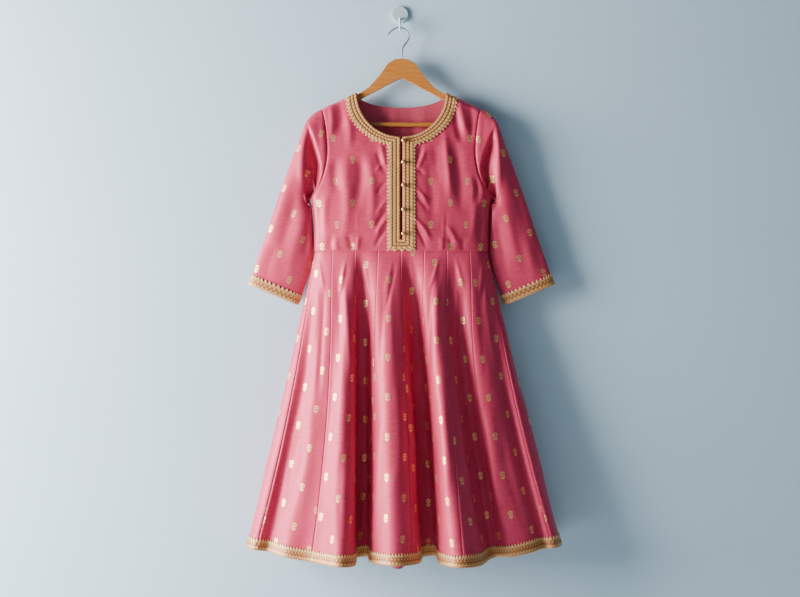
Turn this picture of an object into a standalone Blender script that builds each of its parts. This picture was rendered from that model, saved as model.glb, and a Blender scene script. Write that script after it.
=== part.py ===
"""Anarkali gown of pink silk with gold lace, on a wooden hanger that hangs from a wall hook.

Metres, +Z up, +X to the viewer's right, +Y into the wall. The origin is the centre of the wall
plate's back face. The gown hangs below it, wholly in front of the wall (y < 0), front facing -Y.
Tables are in millimetres. Every cloth piece is a wall: a sheet of outer points and the same sheet
moved inwards by the cloth's thickness. Pieces stay SEAM_GAP apart along each seam.
"""

import math
from typing import NamedTuple

import bmesh
import bpy
import numpy as np

MM = 0.001

# Cloth and lace
SILK_WALL = 0.0015
LACE_WALL = 0.0012
SEAM_GAP = 0.0003
SKIRT_SEAM_GAP = 0.0005
ARMHOLE_GAP = 0.0009
LACE_LIFT = 0.0008

# The gown's own centre line, and the plane that the hanger hangs in
GOWN_X = 0.0033
HANGER_Y = -0.0275

# Heights of the gown's main points
WAIST_Z = -0.583
UNDERARM_Z = -0.4535
NECK_TOP_Z = -0.196
SHOULDER_TIP_Z = -0.2356

# Neck and front slit
NECK_HALF_WIDTH = 0.108
NECK_FRONT_DROP = 0.1115
NECK_BACK_DROP = 0.0346
SHOULDER_TIP_X = 0.1925
SHOULDER_ROUND = 0.014
SLIT_HALF_WIDTH = 0.003
SLIT_FOOT_Z = -0.555
PLACKET_FOOT_Z = -0.5805
PLACKET_HALF_WIDTH = 0.0315
NECK_LACE_WIDTH = 0.025

# Skirt: eight panels across the front and eight across the back
PANELS_PER_SIDE = 8
PANEL_LENGTH = 0.730
FRONT_COLUMNS = 7
BACK_COLUMNS = 6
FOLD_SOFTNESS = 0.006
RING_STEPS = 900
HEM_LACE = 0.029
CUFF_LACE = 0.027

# Buttons
BUTTON_RADIUS = 0.0052
BUTTON_X = 0.0048
BUTTON_HEIGHTS = (-0.3165, -0.3695, -0.4255, -0.484, -0.542)

# Hanger and wall hook
ARM_THICKNESS = 0.0125
BAR_RADIUS = 0.0054
BAR_Z = -0.2735
BAR_HALF = 0.1852
WIRE_RADIUS = 0.0022
PEG_RADIUS = 0.003
PLATE_RADIUS = 0.0205
PLATE_THICKNESS = 0.005

SILK = ("silk_pink", (0.56, 0.115, 0.165), 0.45, 0.0)
LACE = ("zari_lace", (0.62, 0.42, 0.20), 0.42, 0.55)
WOOD = ("beech_wood", (0.50, 0.26, 0.11), 0.45, 0.0)
STEEL = ("hook_steel", (0.70, 0.72, 0.72), 0.28, 1.0)
PLATE = ("wall_plate_metal", (0.52, 0.58, 0.60), 0.40, 0.6)
GOLD = ("button_gold", (0.66, 0.44, 0.20), 0.30, 0.9)


class BodyRow(NamedTuple):
    """One level of the bodice: half width, and y of its side, front and back, in mm."""

    z: float
    half_width: float
    side: float
    front: float
    back: float


BODY_ROWS = (
    BodyRow(-583, 210.0, -49, -86, -15),
    BodyRow(-540, 210.5, -47, -84, -14),
    BodyRow(-500, 212.5, -45, -80, -13),
    BodyRow(-453, 218.5, -42, -74, -12),
    BodyRow(-400, 230.0, -38, -67, -12),
    BodyRow(-340, 250.0, -34, -58, -12),
    BodyRow(-280, 290.0, -31, -48, -12.5),
    BodyRow(-190, 320.0, -29, -41, -13),
)


class SidePoint(NamedTuple):
    """The panel's outer edge, from the centre line: side seam, then armhole, in mm."""

    z: float
    x: float


SIDE_EDGE = (
    SidePoint(-583, 210.0),
    SidePoint(-540, 210.5),
    SidePoint(-500, 212.5),
    SidePoint(-453.5, 218.0),
    SidePoint(-443, 209.5),
    SidePoint(-420, 195.5),
    SidePoint(-385, 183.5),
    SidePoint(-345, 178.0),
    SidePoint(-300, 180.5),
    SidePoint(-262, 186.0),
    SidePoint(-235.6, 192.5),
)


class PanelRow(NamedTuple):
    """One row of a bodice half: height at its side edge and at its centre edge, in mm."""

    side: float
    centre: float


FRONT_ROWS = (
    PanelRow(-582.7, -582.7),
    PanelRow(-558, -558),
    PanelRow(-554, -552),
    PanelRow(-520, -500),
    PanelRow(-487, -430),
    PanelRow(-454.4, -370),
    PanelRow(-443, -335),
    PanelRow(-420, -307.3),
    PanelRow(-385, -302),
    PanelRow(-345, -288),
    PanelRow(-300, -265),
    PanelRow(-265, -235),
    PanelRow(-250, -214),
    PanelRow(-243.5, -206),
    PanelRow(-239, -200.5),
    PanelRow(-236.3, -197),
    PanelRow(-235.6, -196),
)
BACK_ROWS = (
    PanelRow(-582.7, -582.7),
    PanelRow(-535, -525),
    PanelRow(-487, -460),
    PanelRow(-454.4, -400),
    PanelRow(-443, -370),
    PanelRow(-420, -330),
    PanelRow(-385, -285),
    PanelRow(-345, -250),
    PanelRow(-300, -230.6),
    PanelRow(-265, -228.5),
    PanelRow(-250, -221),
    PanelRow(-243.5, -209),
    PanelRow(-239, -201.5),
    PanelRow(-236.3, -197),
    PanelRow(-235.6, -196),
)


class SleeveRow(NamedTuple):
    """One ring of a sleeve: its outer and inner edge, mid plane and depth, in mm."""

    outer_x: float
    outer_z: float
    inner_x: float
    inner_z: float
    mid_y: float
    depth: float


SLEEVE_ROWS = (
    SleeveRow(193.0, -235.6, 218.3, -453.8, -33, 38),
    SleeveRow(206.0, -242.5, 220.5, -459.0, -34, 42),
    SleeveRow(219.0, -253.0, 220.8, -468.0, -34, 44),
    SleeveRow(233.0, -272.0, 219.3, -481.0, -35, 45),
    SleeveRow(248.5, -315.0, 216.8, -505.0, -36, 46),
    SleeveRow(270.5, -375.0, 215.0, -537.0, -37, 46),
    SleeveRow(300.5, -460.0, 215.0, -583.0, -37, 43),
    SleeveRow(330.5, -550.0, 224.0, -634.0, -37, 38),
    SleeveRow(352.0, -611.0, 235.0, -671.0, -37, 33),
    SleeveRow(360.5, -636.5, 240.5, -687.0, -37, 31),
    SleeveRow(370.0, -663.0, 252.5, -712.5, -37, 29),
)
CUFF_START = 0.9
# Shares of a sleeve's length over which x, y and z leave the armhole for the tube's own form
ARMHOLE_REACH = (0.12, 0.34, 0.34)
TANGENT_STEP = 0.01
SPAN_STEPS = 12
BUTTON_SIDES = 12


class Fold(NamedTuple):
    """One fold line of the skirt in mm: x at waist, middle and hem, y at middle and hem."""

    name: str
    x_waist: float
    x_middle: float
    x_hem: float
    y_middle: float
    y_hem: float
    drop: float


FRONT_FOLDS = (
    Fold("left side seam", -206.7, -259, -338, -88, -122, -9),
    Fold("left edge valley", -192, -238, -319, -82, -108, -8),
    Fold("left fan start", -176, -209, -268, -106, -142, -4),
    Fold("left fan middle", -158, -186, -221, -112, -148, 0),
    Fold("left fan end", -142, -162, -183, -117, -166, 3),
    Fold("left ridge", -124, -133, -137, -138, -202, 6),
    Fold("left ridge flank", -106, -108.5, -106.5, -122, -172, 6),
    Fold("left valley start", -98, -101, -101.5, -68, -88, 0),
    Fold("left valley end", -88, -80, -78, -63, -76, 0),
    Fold("centre flank left", -72, -62, -65.5, -112, -158, 0),
    Fold("centre ridge", -42, -26, -11.5, -143, -204, 3),
    Fold("centre flank right", 2, 21, 41, -119, -168, 2),
    Fold("right valley start", 15, 36, 57, -68, -84, 0),
    Fold("right valley end", 29, 60, 83, -62, -76, 0),
    Fold("right flank", 45, 74.5, 95, -112, -164, 4),
    Fold("right ridge", 70, 98, 132, -141, -206, 9),
    Fold("right ridge end", 98, 131, 181, -124, -186, 9),
    Fold("right shallow valley", 124, 162, 222, -78, -104, 3),
    Fold("right fan start", 150, 198, 262, -106, -136, -2),
    Fold("right fan end", 174, 237, 317, -96, -128, -8),
    Fold("right edge valley", 190, 257, 341, -80, -106, -10),
    Fold("right side seam", 213.3, 273.5, 362, -88, -118, -10),
)
BACK_FOLDS = (
    Fold("right silhouette", 213.1, 295, 384.5, -62, -88, -9),
    Fold("right back corner", 200, 280, 372, -34, -44, -8),
    Fold("right back outer ridge", 178, 250, 334, -13, -13, -4),
    Fold("right back outer valley", 152, 216, 288, -44, -72, 0),
    Fold("right back ridge", 128, 180, 238, -13, -13, 0),
    Fold("right back valley", 88, 124, 164, -58, -98, 0),
    Fold("right back inner ridge", 54, 76, 98, -12, -13, 0),
    Fold("right back flat", 30, 38, 50, -13, -14, 0),
    Fold("centre back valley", 0, -2, -5, -66, -133, 27),
    Fold("left back flat", -28, -40, -59, -13, -14, 0),
    Fold("left back inner ridge", -54, -74, -98, -12, -13, 0),
    Fold("left back valley", -84, -118, -152, -58, -96, 0),
    Fold("left back ridge", -118, -160, -208, -13, -13, 0),
    Fold("left back outer valley", -146, -196, -256, -46, -74, 0),
    Fold("left back outer ridge", -172, -232, -308, -13, -13, -4),
    Fold("left back corner", -194, -266, -350, -34, -46, -7),
    Fold("left silhouette", -206.5, -282.5, -364.5, -66, -94, -8),
)


class ArmRow(NamedTuple):
    """One station of the hanger's arm, from its middle: top and bottom edge, in mm."""

    x: float
    top: float
    bottom: float


ARM_ROWS = (
    ArmRow(0, -113.8, -161.0),
    ArmRow(16, -115.6, -168.0),
    ArmRow(33, -126.0, -177.0),
    ArmRow(52, -153.5, -187.5),
    ArmRow(78, -183.0, -200.5),
    ArmRow(102, -198.6, -214.0),
    ArmRow(133, -211.5, -231.5),
    ArmRow(165, -227.5, -250.0),
    ArmRow(185.5, -239.0, -262.0),
    ArmRow(186.0, -239.5, -281.0),
    ArmRow(194, -247.5, -281.5),
    ArmRow(199.5, -257.0, -275.0),
)


class WirePoint(NamedTuple):
    """A point that the hanger's hook passes through, in mm, in the hanger's plane."""

    x: float
    z: float


HOOK_ROUTE = (
    WirePoint(5.4, -113.2),
    WirePoint(5.4, -92),
    WirePoint(11.5, -80),
    WirePoint(20.4, -66.5),
    WirePoint(21.2, -54),
    WirePoint(14.5, -43.5),
    WirePoint(2.0, -37.2),
    WirePoint(-9.0, -38.6),
    WirePoint(-20.5, -45.5),
    WirePoint(-29.0, -55.0),
)


class PegPoint(NamedTuple):
    """A point that the wall hook's peg passes through, in mm, in its upright plane."""

    y: float
    z: float


PEG_ROUTE = (
    PegPoint(-5.4, -12.0),
    PegPoint(-9.0, -12.0),
    PegPoint(-14.5, -17.0),
    PegPoint(-17.5, -29.0),
    PegPoint(-21.0, -39.0),
    PegPoint(-27.5, -42.9),
    PegPoint(-34.0, -39.0),
    PegPoint(-37.0, -29.0),
    PegPoint(-38.0, -16.5),
)


def clear_scene() -> None:
    """Removes the objects of the startup scene."""
    for thing in list(bpy.data.objects):
        bpy.data.objects.remove(thing, do_unlink=True)


def finish(obj: bpy.types.Object, look: tuple, smooth_angle: float = 50.0) -> bpy.types.Object:
    """Gives an object its material, shades it and links it to the scene."""
    name, colour, roughness, metallic = look
    material = bpy.data.materials.get(name) or bpy.data.materials.new(name)
    material.use_nodes = True
    shader = material.node_tree.nodes["Principled BSDF"]
    shader.inputs["Base Color"].default_value = (*colour, 1)
    shader.inputs["Roughness"].default_value = roughness
    shader.inputs["Metallic"].default_value = metallic
    obj.data.materials.append(material)
    bpy.context.scene.collection.objects.link(obj)
    if obj.type == "MESH":
        obj.data.shade_smooth()
        obj.data.set_sharp_from_angle(angle=math.radians(smooth_angle))
    return obj


def smooth_line(points: np.ndarray, steps: int, closed: bool) -> np.ndarray:
    """A centripetal Catmull-Rom line through the points, with `steps` points for each span."""
    points = np.asarray(points, float)
    if closed:
        padded = np.concatenate([points[-1:], points, points[:2]])
    else:
        first = 2 * points[0] - points[1]
        last = 2 * points[-1] - points[-2]
        padded = np.concatenate([[first], points, [last]])
    p0, p1, p2, p3 = padded[:-3], padded[1:-2], padded[2:-1], padded[3:]
    d1, d2, d3 = (
        np.sqrt(np.linalg.norm(after - before, axis=1))[:, None] + 1e-9
        for before, after in ((p0, p1), (p1, p2), (p2, p3))
    )
    start = d2 * ((p1 - p0) / d1 - (p2 - p0) / (d1 + d2) + (p2 - p1) / d2)
    end = d2 * ((p2 - p1) / d2 - (p3 - p1) / (d2 + d3) + (p3 - p2) / d3)
    s = (np.arange(steps) / steps)[None, :, None]
    line = (
        (2 * s**3 - 3 * s**2 + 1) * p1[:, None]
        + (s**3 - 2 * s**2 + s) * start[:, None]
        + (3 * s**2 - 2 * s**3) * p2[:, None]
        + (s**3 - s**2) * end[:, None]
    ).reshape(-1, points.shape[1])
    return np.concatenate([line, points[:1] if closed else points[-1:]])


def along(line: np.ndarray, fractions: np.ndarray) -> np.ndarray:
    """The points at these fractions of a line's length."""
    steps = np.linalg.norm(np.diff(line, axis=0), axis=1)
    length = np.concatenate([[0], np.cumsum(steps)])
    wanted = np.asarray(fractions) * length[-1]
    return np.stack([np.interp(wanted, length, column) for column in line.T], axis=1)


def column(rows: tuple, name: str) -> np.ndarray:
    """One column of a table, in metres."""
    return np.array([getattr(row, name) for row in rows]) * MM


def body_y(x: np.ndarray, z: np.ndarray, facing: str) -> np.ndarray:
    """y of the bodice's outer face at x (from the gown's centre line) and z."""
    order = np.argsort(column(BODY_ROWS, "z"))
    width, side, face = (
        np.interp(z, column(BODY_ROWS, "z")[order], column(BODY_ROWS, name)[order])
        for name in ("half_width", "side", facing)
    )
    reach = np.clip(1 - np.abs(x / width) ** 2.6, 0, 1) ** (1 / 2.6)
    y = side + (face - side) * reach
    slope = (SHOULDER_TIP_Z - NECK_TOP_Z) / (SHOULDER_TIP_X - NECK_HALF_WIDTH)
    line_z = NECK_TOP_Z + slope * (np.abs(x) - NECK_HALF_WIDTH)
    below = np.clip((line_z - z) / SHOULDER_ROUND, 0, 1)
    over_arm = np.sqrt(1 - (1 - below) ** 2)
    gap = -SEAM_GAP / 2 if facing == "front" else SEAM_GAP / 2
    return HANGER_Y + gap + (y - HANGER_Y - gap) * over_arm


def body_normal(x: np.ndarray, z: np.ndarray, facing: str, mirror: float) -> np.ndarray:
    """Outward unit normals of the bodice; mirror is -1 or 1, the side of the centre line."""
    step = 0.0008
    inner_x = np.maximum(np.abs(x) - step, 0)
    here = body_y(x, z, facing)
    by_x = (here - body_y(inner_x, z, facing)) / np.maximum(np.abs(x) - inner_x, 1e-9)
    by_z = (here - body_y(x, z - step, facing)) / step
    outward = -1.0 if facing == "front" else 1.0
    normal = np.stack([-outward * by_x * mirror, np.full_like(x, outward), -outward * by_z], -1)
    return normal / np.linalg.norm(normal, axis=-1, keepdims=True)


def side_x(z: np.ndarray) -> np.ndarray:
    """Distance from the centre line to a bodice panel's outer edge."""
    edge = np.array([[point.z * MM, point.x * MM] for point in SIDE_EDGE])
    seam = smooth_line(edge[:4], 8, closed=False)
    armhole = smooth_line(edge[3:], 8, closed=False)
    line = np.concatenate([seam, armhole[1:]])
    return np.interp(z, line[:, 0], line[:, 1])


def neck_x(z: np.ndarray, drop: float) -> np.ndarray:
    """Distance from the centre line to the neck's edge, a half ellipse `drop` deep."""
    down = np.clip((NECK_TOP_Z - z) / drop, 0, 1)
    return NECK_HALF_WIDTH * np.sqrt(1 - down**2)


def bodice_half(rows: tuple, facing: str, mirror: int, fractions: np.ndarray) -> tuple:
    """Outer and inner points of one half of a bodice panel, a row for each table row.

    The fractions run from the side edge (0) to the centre edge (1), and mirror is -1 on the
    wearer's right, which is the viewer's left.
    """
    z_side, z_centre = column(rows, "side"), column(rows, "centre")
    x_side = side_x(z_side) - SEAM_GAP / 2
    drop = NECK_FRONT_DROP if facing == "front" else NECK_BACK_DROP
    x_neck = neck_x(z_centre, drop)
    if facing == "front":
        x_neck = np.where(z_centre > -0.3075, x_neck, 0)
        x_neck = np.where(z_centre > SLIT_FOOT_Z, np.maximum(x_neck, SLIT_HALF_WIDTH), x_neck)
    else:
        x_neck = np.where(z_centre > NECK_TOP_Z - NECK_BACK_DROP + 1e-6, x_neck, 0)
    share = fractions[None, :]
    x = x_side[:, None] * (1 - share) + x_neck[:, None] * share
    z = z_side[:, None] * (1 - share) + z_centre[:, None] * share
    outer = np.stack([GOWN_X + mirror * x, body_y(x, z, facing), z], axis=2)
    normal = body_normal(x, z, facing, mirror)
    normal[z_side < UNDERARM_Z + 0.002, 0] = (mirror, 0, 0)
    normal[-1] = (0, 0, 1)
    centred = x_neck == 0
    normal[centred, -1, 0] = 0
    return outer, outer - normal * SILK_WALL


def inside_of(outer: np.ndarray, depth: float) -> np.ndarray:
    """A tube's points moved against its normals; its first and last columns are the same."""
    ring = np.concatenate([outer[:, -2:-1], outer, outer[:, 1:2]], axis=1)
    around = np.gradient(ring, axis=1)[:, 1:-1]
    normal = np.cross(around, np.gradient(outer, axis=0))
    normal /= np.linalg.norm(normal, axis=2, keepdims=True) + 1e-12
    return outer - normal * depth


def wall(name: str, look: tuple, patches: list) -> bpy.types.Object:
    """A closed wall of cloth from patches of (outer points, inner points).

    Each patch is a grid whose rows run upwards and whose columns run to the right as seen from
    outside. Patches that share points are welded, and so are a tube's first and last columns.
    """
    mesh = bmesh.new()
    key = mesh.verts.layers.int.new("key")
    inner_points = []
    for outer, inner in patches:
        rows, columns = outer.shape[:2]
        made = bmesh.ops.create_grid(mesh, x_segments=columns - 1, y_segments=rows - 1, size=1)
        for vert in made["verts"]:
            row = round((vert.co.y + 1) / 2 * (rows - 1))
            place = round((vert.co.x + 1) / 2 * (columns - 1))
            vert[key] = len(inner_points)
            inner_points.append(inner[row, place])
            vert.co = outer[row, place]
    bmesh.ops.remove_doubles(mesh, verts=mesh.verts[:], dist=2e-6)
    moved = bmesh.ops.extrude_face_region(mesh, geom=mesh.faces[:])
    for item in moved["geom"]:
        if isinstance(item, bmesh.types.BMVert):
            item.co = inner_points[item[key]]
    bmesh.ops.recalc_face_normals(mesh, faces=mesh.faces[:])
    data = bpy.data.meshes.new(name)
    mesh.to_mesh(data)
    mesh.free()
    return finish(bpy.data.objects.new(name, data), look)


def make_bodice() -> None:
    """The front panel with its slit, and the back panel."""
    fractions = np.sin(np.linspace(0, math.pi / 2, 10)) ** 0.9
    for facing, rows in (("front", FRONT_ROWS), ("back", BACK_ROWS)):
        patches = []
        for mirror in (-1, 1):
            grids = bodice_half(rows, facing, mirror, fractions)
            rightwards = (mirror == -1) == (facing == "front")
            patches.append([grid if rightwards else grid[:, ::-1] for grid in grids])
        wall(f"bodice_{facing}", SILK, patches)


def armhole_line() -> np.ndarray:
    """The armhole's (z, x) line, close-stepped, from the shoulder tip to the underarm."""
    points = np.array([[point.z * MM, point.x * MM] for point in SIDE_EDGE[3:]])[::-1]
    return smooth_line(points, 10, closed=False)


def sleeve_columns() -> np.ndarray:
    """Places round a sleeve (0 to 1) that meet the bodice panels' rows at the armhole."""
    line = armhole_line()
    steps = np.linalg.norm(np.diff(line, axis=0), axis=1)
    length = np.concatenate([[0], np.cumsum(steps)])
    heights = np.array([row.side * MM for row in FRONT_ROWS if row.side > UNDERARM_Z / MM - 1])
    down = np.interp(-heights[::-1], -line[:, 0], length / length[-1])
    return np.concatenate([down / 2, 1 - down[-2::-1] / 2])


def armhole_loop(around: np.ndarray, mirror: int) -> tuple:
    """Points of the armhole and the bodice's outward directions there.

    around is 0 at the shoulder tip, a half at the underarm, and goes down the front first.
    """
    down = np.where(around <= 0.5, around, 1 - around) * 2
    line = along(armhole_line(), down)
    along_hole = along(armhole_line(), down + TANGENT_STEP) - along(
        armhole_line(), down - TANGENT_STEP)
    along_hole /= np.linalg.norm(along_hole, axis=1, keepdims=True)
    z = line[:, 0] + along_hole[:, 1] * ARMHOLE_GAP
    x = line[:, 1] - along_hole[:, 0] * ARMHOLE_GAP
    places, normals = [], []
    for facing in ("front", "back"):
        places.append(np.stack([GOWN_X + mirror * x, body_y(x, z, facing), z], 1))
        normals.append(body_normal(x, z, facing, mirror))
    in_front = (around <= 0.5)[:, None]
    place = np.where(in_front, places[0], places[1])
    normal = np.where(in_front, normals[0], normals[1])
    below = (mirror * 0.6, 0, -0.8)
    for fixed, direction in ((0.0, (0, 0, 1)), (0.5, below), (1.0, (0, 0, 1))):
        at = np.abs(around - fixed) < 1e-6
        place[at, 1] = (places[0][at, 1] + places[1][at, 1]) / 2
        normal[at] = direction
    return place, normal


def sleeve_grid(around: np.ndarray, levels: np.ndarray, mirror: int) -> np.ndarray:
    """Outer points of a sleeve: a ring for each level from the armhole (0) to the hem (1)."""
    table = np.array(SLEEVE_ROWS) * MM
    line = smooth_line(table, 6, closed=False)
    stations = np.linspace(0, 1, len(line))
    values = [np.interp(levels, stations, column)[:, None] for column in line.T]
    outer_x, outer_z, inner_x, inner_z, mid_y, depth = values
    turn = 2 * math.pi * around[None, :]
    share = (1 - np.cos(turn)) / 2
    x = outer_x * (1 - share) + inner_x * share
    z = outer_z * (1 - share) + inner_z * share
    swell = np.sign(np.sin(turn)) * np.abs(np.sin(turn)) ** 0.8
    y = mid_y - depth / 2 * swell
    ring = np.stack([GOWN_X + mirror * x, y, z], axis=2)
    loop, _ = armhole_loop(around, mirror)
    start = sleeve_ring_at_armhole(around, mirror)
    reach = np.array(ARMHOLE_REACH)
    fade = np.clip(1 - levels[:, None, None] / reach, 0, 1) ** 2
    return ring + (loop - start)[None] * fade


def sleeve_ring_at_armhole(around: np.ndarray, mirror: int) -> np.ndarray:
    """The plain ring of the sleeve's first table row."""
    row = SLEEVE_ROWS[0]
    turn = 2 * math.pi * around
    share = (1 - np.cos(turn)) / 2
    x = (row.outer_x * (1 - share) + row.inner_x * share) * MM
    z = (row.outer_z * (1 - share) + row.inner_z * share) * MM
    swell = np.sign(np.sin(turn)) * np.abs(np.sin(turn)) ** 0.8
    y = (row.mid_y - row.depth / 2 * swell) * MM
    return np.stack([GOWN_X + mirror * x, y, z], axis=1)


def make_sleeves() -> None:
    """Both sleeves, each with the gold lace round its hem."""
    around = sleeve_columns()
    levels = np.array([0, 0.05, 0.12, 0.2, 0.3, 0.42, 0.56, 0.7, 0.82, CUFF_START, 1.0])
    for side, mirror in (("left", -1), ("right", 1)):
        outer = sleeve_grid(around, levels, mirror)
        loop, body_normal = armhole_loop(around, mirror)
        outer[0] = loop
        closed_inner = oriented_inside(outer, SILK_WALL, mirror)
        closed_inner[0] = outer[0] - body_normal * SILK_WALL
        patch = flipped(outer, closed_inner, mirror)
        wall(f"sleeve_{side}", SILK, [patch])
        cuff = sleeve_grid(around, np.array([CUFF_START, 0.95, 1.0]), mirror)
        lifted = oriented_inside(cuff, -(LACE_LIFT + LACE_WALL), mirror)
        base = oriented_inside(cuff, -LACE_LIFT, mirror)
        wall(f"cuff_lace_{side}", LACE, [flipped(lifted, base, mirror)])


def oriented_inside(outer: np.ndarray, depth: float, mirror: int) -> np.ndarray:
    """Moves a sleeve's rings inwards, whichever way round its columns run."""
    return inside_of(outer, depth if mirror == -1 else -depth)


def flipped(outer: np.ndarray, inner: np.ndarray, mirror: int) -> tuple:
    """The patch with its columns running the same way on both sleeves."""
    return (outer, inner) if mirror == -1 else (outer[:, ::-1], inner[:, ::-1])


def waist_point(x: np.ndarray, facing: str) -> np.ndarray:
    """Points of the waist at x (absolute), on the bodice's own outline."""
    z = np.full_like(x, WAIST_Z)
    return np.stack([x, body_y(x - GOWN_X, z, facing), z], axis=1)


def fold_lines() -> tuple:
    """Waist, middle and hem points of every fold, front first, then the back leftwards."""
    waist, middle, hem = [], [], []
    for facing, folds in (("front", FRONT_FOLDS), ("back", BACK_FOLDS)):
        top = waist_point(column(folds, "x_waist"), facing)
        foot_xy = np.stack([column(folds, "x_hem"), column(folds, "y_hem")], axis=1)
        spread = ((foot_xy - top[:, :2]) ** 2).sum(axis=1)
        foot_z = WAIST_Z - np.sqrt(PANEL_LENGTH**2 - spread) - column(folds, "drop")
        foot = np.column_stack([foot_xy, foot_z])
        mid_xy = np.stack([column(folds, "x_middle"), column(folds, "y_middle")], axis=1)
        middle.append(np.column_stack([mid_xy, (top[:, 2] + foot_z) / 2]))
        waist.append(top)
        hem.append(foot)
    return np.concatenate(waist), np.concatenate(middle), np.concatenate(hem)


def skirt_ring(level: float) -> tuple:
    """The skirt's closed outer line at a level (0 waist, 1 hem), and its right seam's place.

    The line is evenly stepped, softened by FOLD_SOFTNESS, and starts at the left side seam.
    """
    waist, middle, hem = fold_lines()
    start = (1 - level) * (1 - 2 * level)
    half = 4 * level * (1 - level)
    end = level * (2 * level - 1)
    ring = smooth_line(waist * start + middle * half + hem * end, SPAN_STEPS, closed=True)
    lengths = np.concatenate([[0], np.cumsum(np.linalg.norm(np.diff(ring, axis=0), axis=1))])
    seam = lengths[(len(FRONT_FOLDS) - 1) * SPAN_STEPS] / lengths[-1]
    even = along(ring, np.arange(RING_STEPS) / RING_STEPS)
    spacing = lengths[-1] / RING_STEPS
    reach = np.arange(-30, 31)
    weights = np.exp(-0.5 * (reach * spacing / FOLD_SOFTNESS) ** 2)
    soft = sum(
        weight * np.roll(even, -shift, axis=0) for weight, shift in zip(weights, reach)
    ) / weights.sum()
    return soft, seam


def skirt_grid(places: np.ndarray, levels: np.ndarray) -> np.ndarray:
    """Outer points of the skirt. Places run 0 to 1 over the front and 1 to 2 over the back."""
    rows = []
    for level in levels:
        ring, seam = skirt_ring(level)
        wrapped = np.mod(places, 2)
        share = np.where(wrapped <= 1, wrapped * seam, seam + (wrapped - 1) * (1 - seam))
        rows.append(along(np.concatenate([ring, ring[:1]]), share))
    return np.stack(rows)


def skirt_wall(places: np.ndarray, levels: np.ndarray, moves: tuple) -> list:
    """Skirt points moved along the normals by each of the moves (outwards is positive)."""
    step = 0.004
    grid = skirt_grid(places, levels)
    sideways = skirt_grid(places + step, levels) - skirt_grid(places - step, levels)
    upwards = skirt_grid(places, levels - step) - skirt_grid(places, levels + step)
    normal = np.cross(sideways, upwards)
    normal /= np.linalg.norm(normal, axis=2, keepdims=True)
    return [grid + normal * move for move in moves]


def make_skirt() -> None:
    """Sixteen flared panels, and the gold lace round the hem."""
    lace_level = 1 - HEM_LACE / PANEL_LENGTH
    levels = np.array([1.0, lace_level, 0.84, 0.68, 0.52, 0.37, 0.24, 0.13, 0.05, 0.0])
    for facing, offset, columns in (("front", 0, FRONT_COLUMNS), ("back", 1, BACK_COLUMNS)):
        for number in range(PANELS_PER_SIDE):
            places = offset + (number + np.linspace(0, 1, columns + 1)) / PANELS_PER_SIDE
            outer, inner = skirt_wall(places, levels, (0.0, -SILK_WALL))
            for grid in (outer, inner):
                trim_edges(grid)
                grid[-1, :, 2] -= SEAM_GAP / 2
            wall(f"kali_{facing}_{number + 1}", SILK, [(outer, inner)])
    front = np.linspace(0, 1, FRONT_COLUMNS * PANELS_PER_SIDE + 1)
    back = np.linspace(1, 2, BACK_COLUMNS * PANELS_PER_SIDE + 1)
    places = np.concatenate([front, back[1:]])
    edges = skirt_wall(places, np.array([1.0, lace_level]), (LACE_LIFT + LACE_WALL, LACE_LIFT))
    wall("hem_lace", LACE, [edges])


def trim_edges(grid: np.ndarray) -> None:
    """Draws a panel's two side edges in by half of the seam's gap."""
    for edge, beside in ((0, 1), (-1, -2)):
        inwards = grid[:, beside] - grid[:, edge]
        inwards /= np.linalg.norm(inwards, axis=1, keepdims=True)
        grid[:, edge] += inwards * SKIRT_SEAM_GAP / 2


def lace_edges() -> tuple:
    """The neck and placket lace's inner and outer edge, as (x, z) from shoulder to shoulder."""
    turns = np.radians(np.array([1.5, 3.2, 5.2, 8, 12, 18, 29, 41, 53, 65, 77]))
    inner_neck = np.stack(
        [-NECK_HALF_WIDTH * np.cos(turns), NECK_TOP_Z - NECK_FRONT_DROP * np.sin(turns)], 1
    )
    wide = NECK_HALF_WIDTH + NECK_LACE_WIDTH
    deep = NECK_FRONT_DROP + 0.022
    outer_neck = np.stack([-wide * np.cos(turns), NECK_TOP_Z - deep * np.sin(turns)], 1)
    outer_neck[:, 1] -= 0.0115 * np.cos(turns) ** 4
    slit_top = NECK_TOP_Z - NECK_FRONT_DROP
    corner = -deep * math.sqrt(1 - (PLACKET_HALF_WIDTH / wide) ** 2) + NECK_TOP_Z
    heights = np.linspace(0, 1, 7)
    inner_slit = np.stack(
        [np.full(7, -SLIT_HALF_WIDTH), slit_top + (SLIT_FOOT_Z - 0.001 - slit_top) * heights], 1
    )
    outer_slit = np.stack(
        [np.full(7, -PLACKET_HALF_WIDTH), corner + (PLACKET_FOOT_Z - corner) * heights], 1
    )
    inner = np.concatenate([inner_neck, inner_slit])
    outer = np.concatenate([outer_neck, outer_slit])
    across_x = np.array([-1.0, 1.0])
    return (
        np.concatenate([inner, (inner * across_x)[::-1]]),
        np.concatenate([outer, (outer * across_x)[::-1]]),
    )


def make_neck_lace() -> None:
    """The gold lace: along the neck, down the slit, across its foot and back up."""
    inner, outer = lace_edges()
    share = np.array([0.0, 0.5, 1.0])[:, None, None]
    flat = outer * (1 - share) + inner * share
    x, z = flat[..., 0], flat[..., 1]
    face = np.stack([GOWN_X + x, body_y(x, z, "front"), z], axis=-1)
    normal = body_normal(x, z, "front", np.sign(x))
    top = face + normal * (LACE_LIFT + LACE_WALL)
    wall("neck_placket_lace", LACE, [(top, face + normal * LACE_LIFT)])


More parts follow.
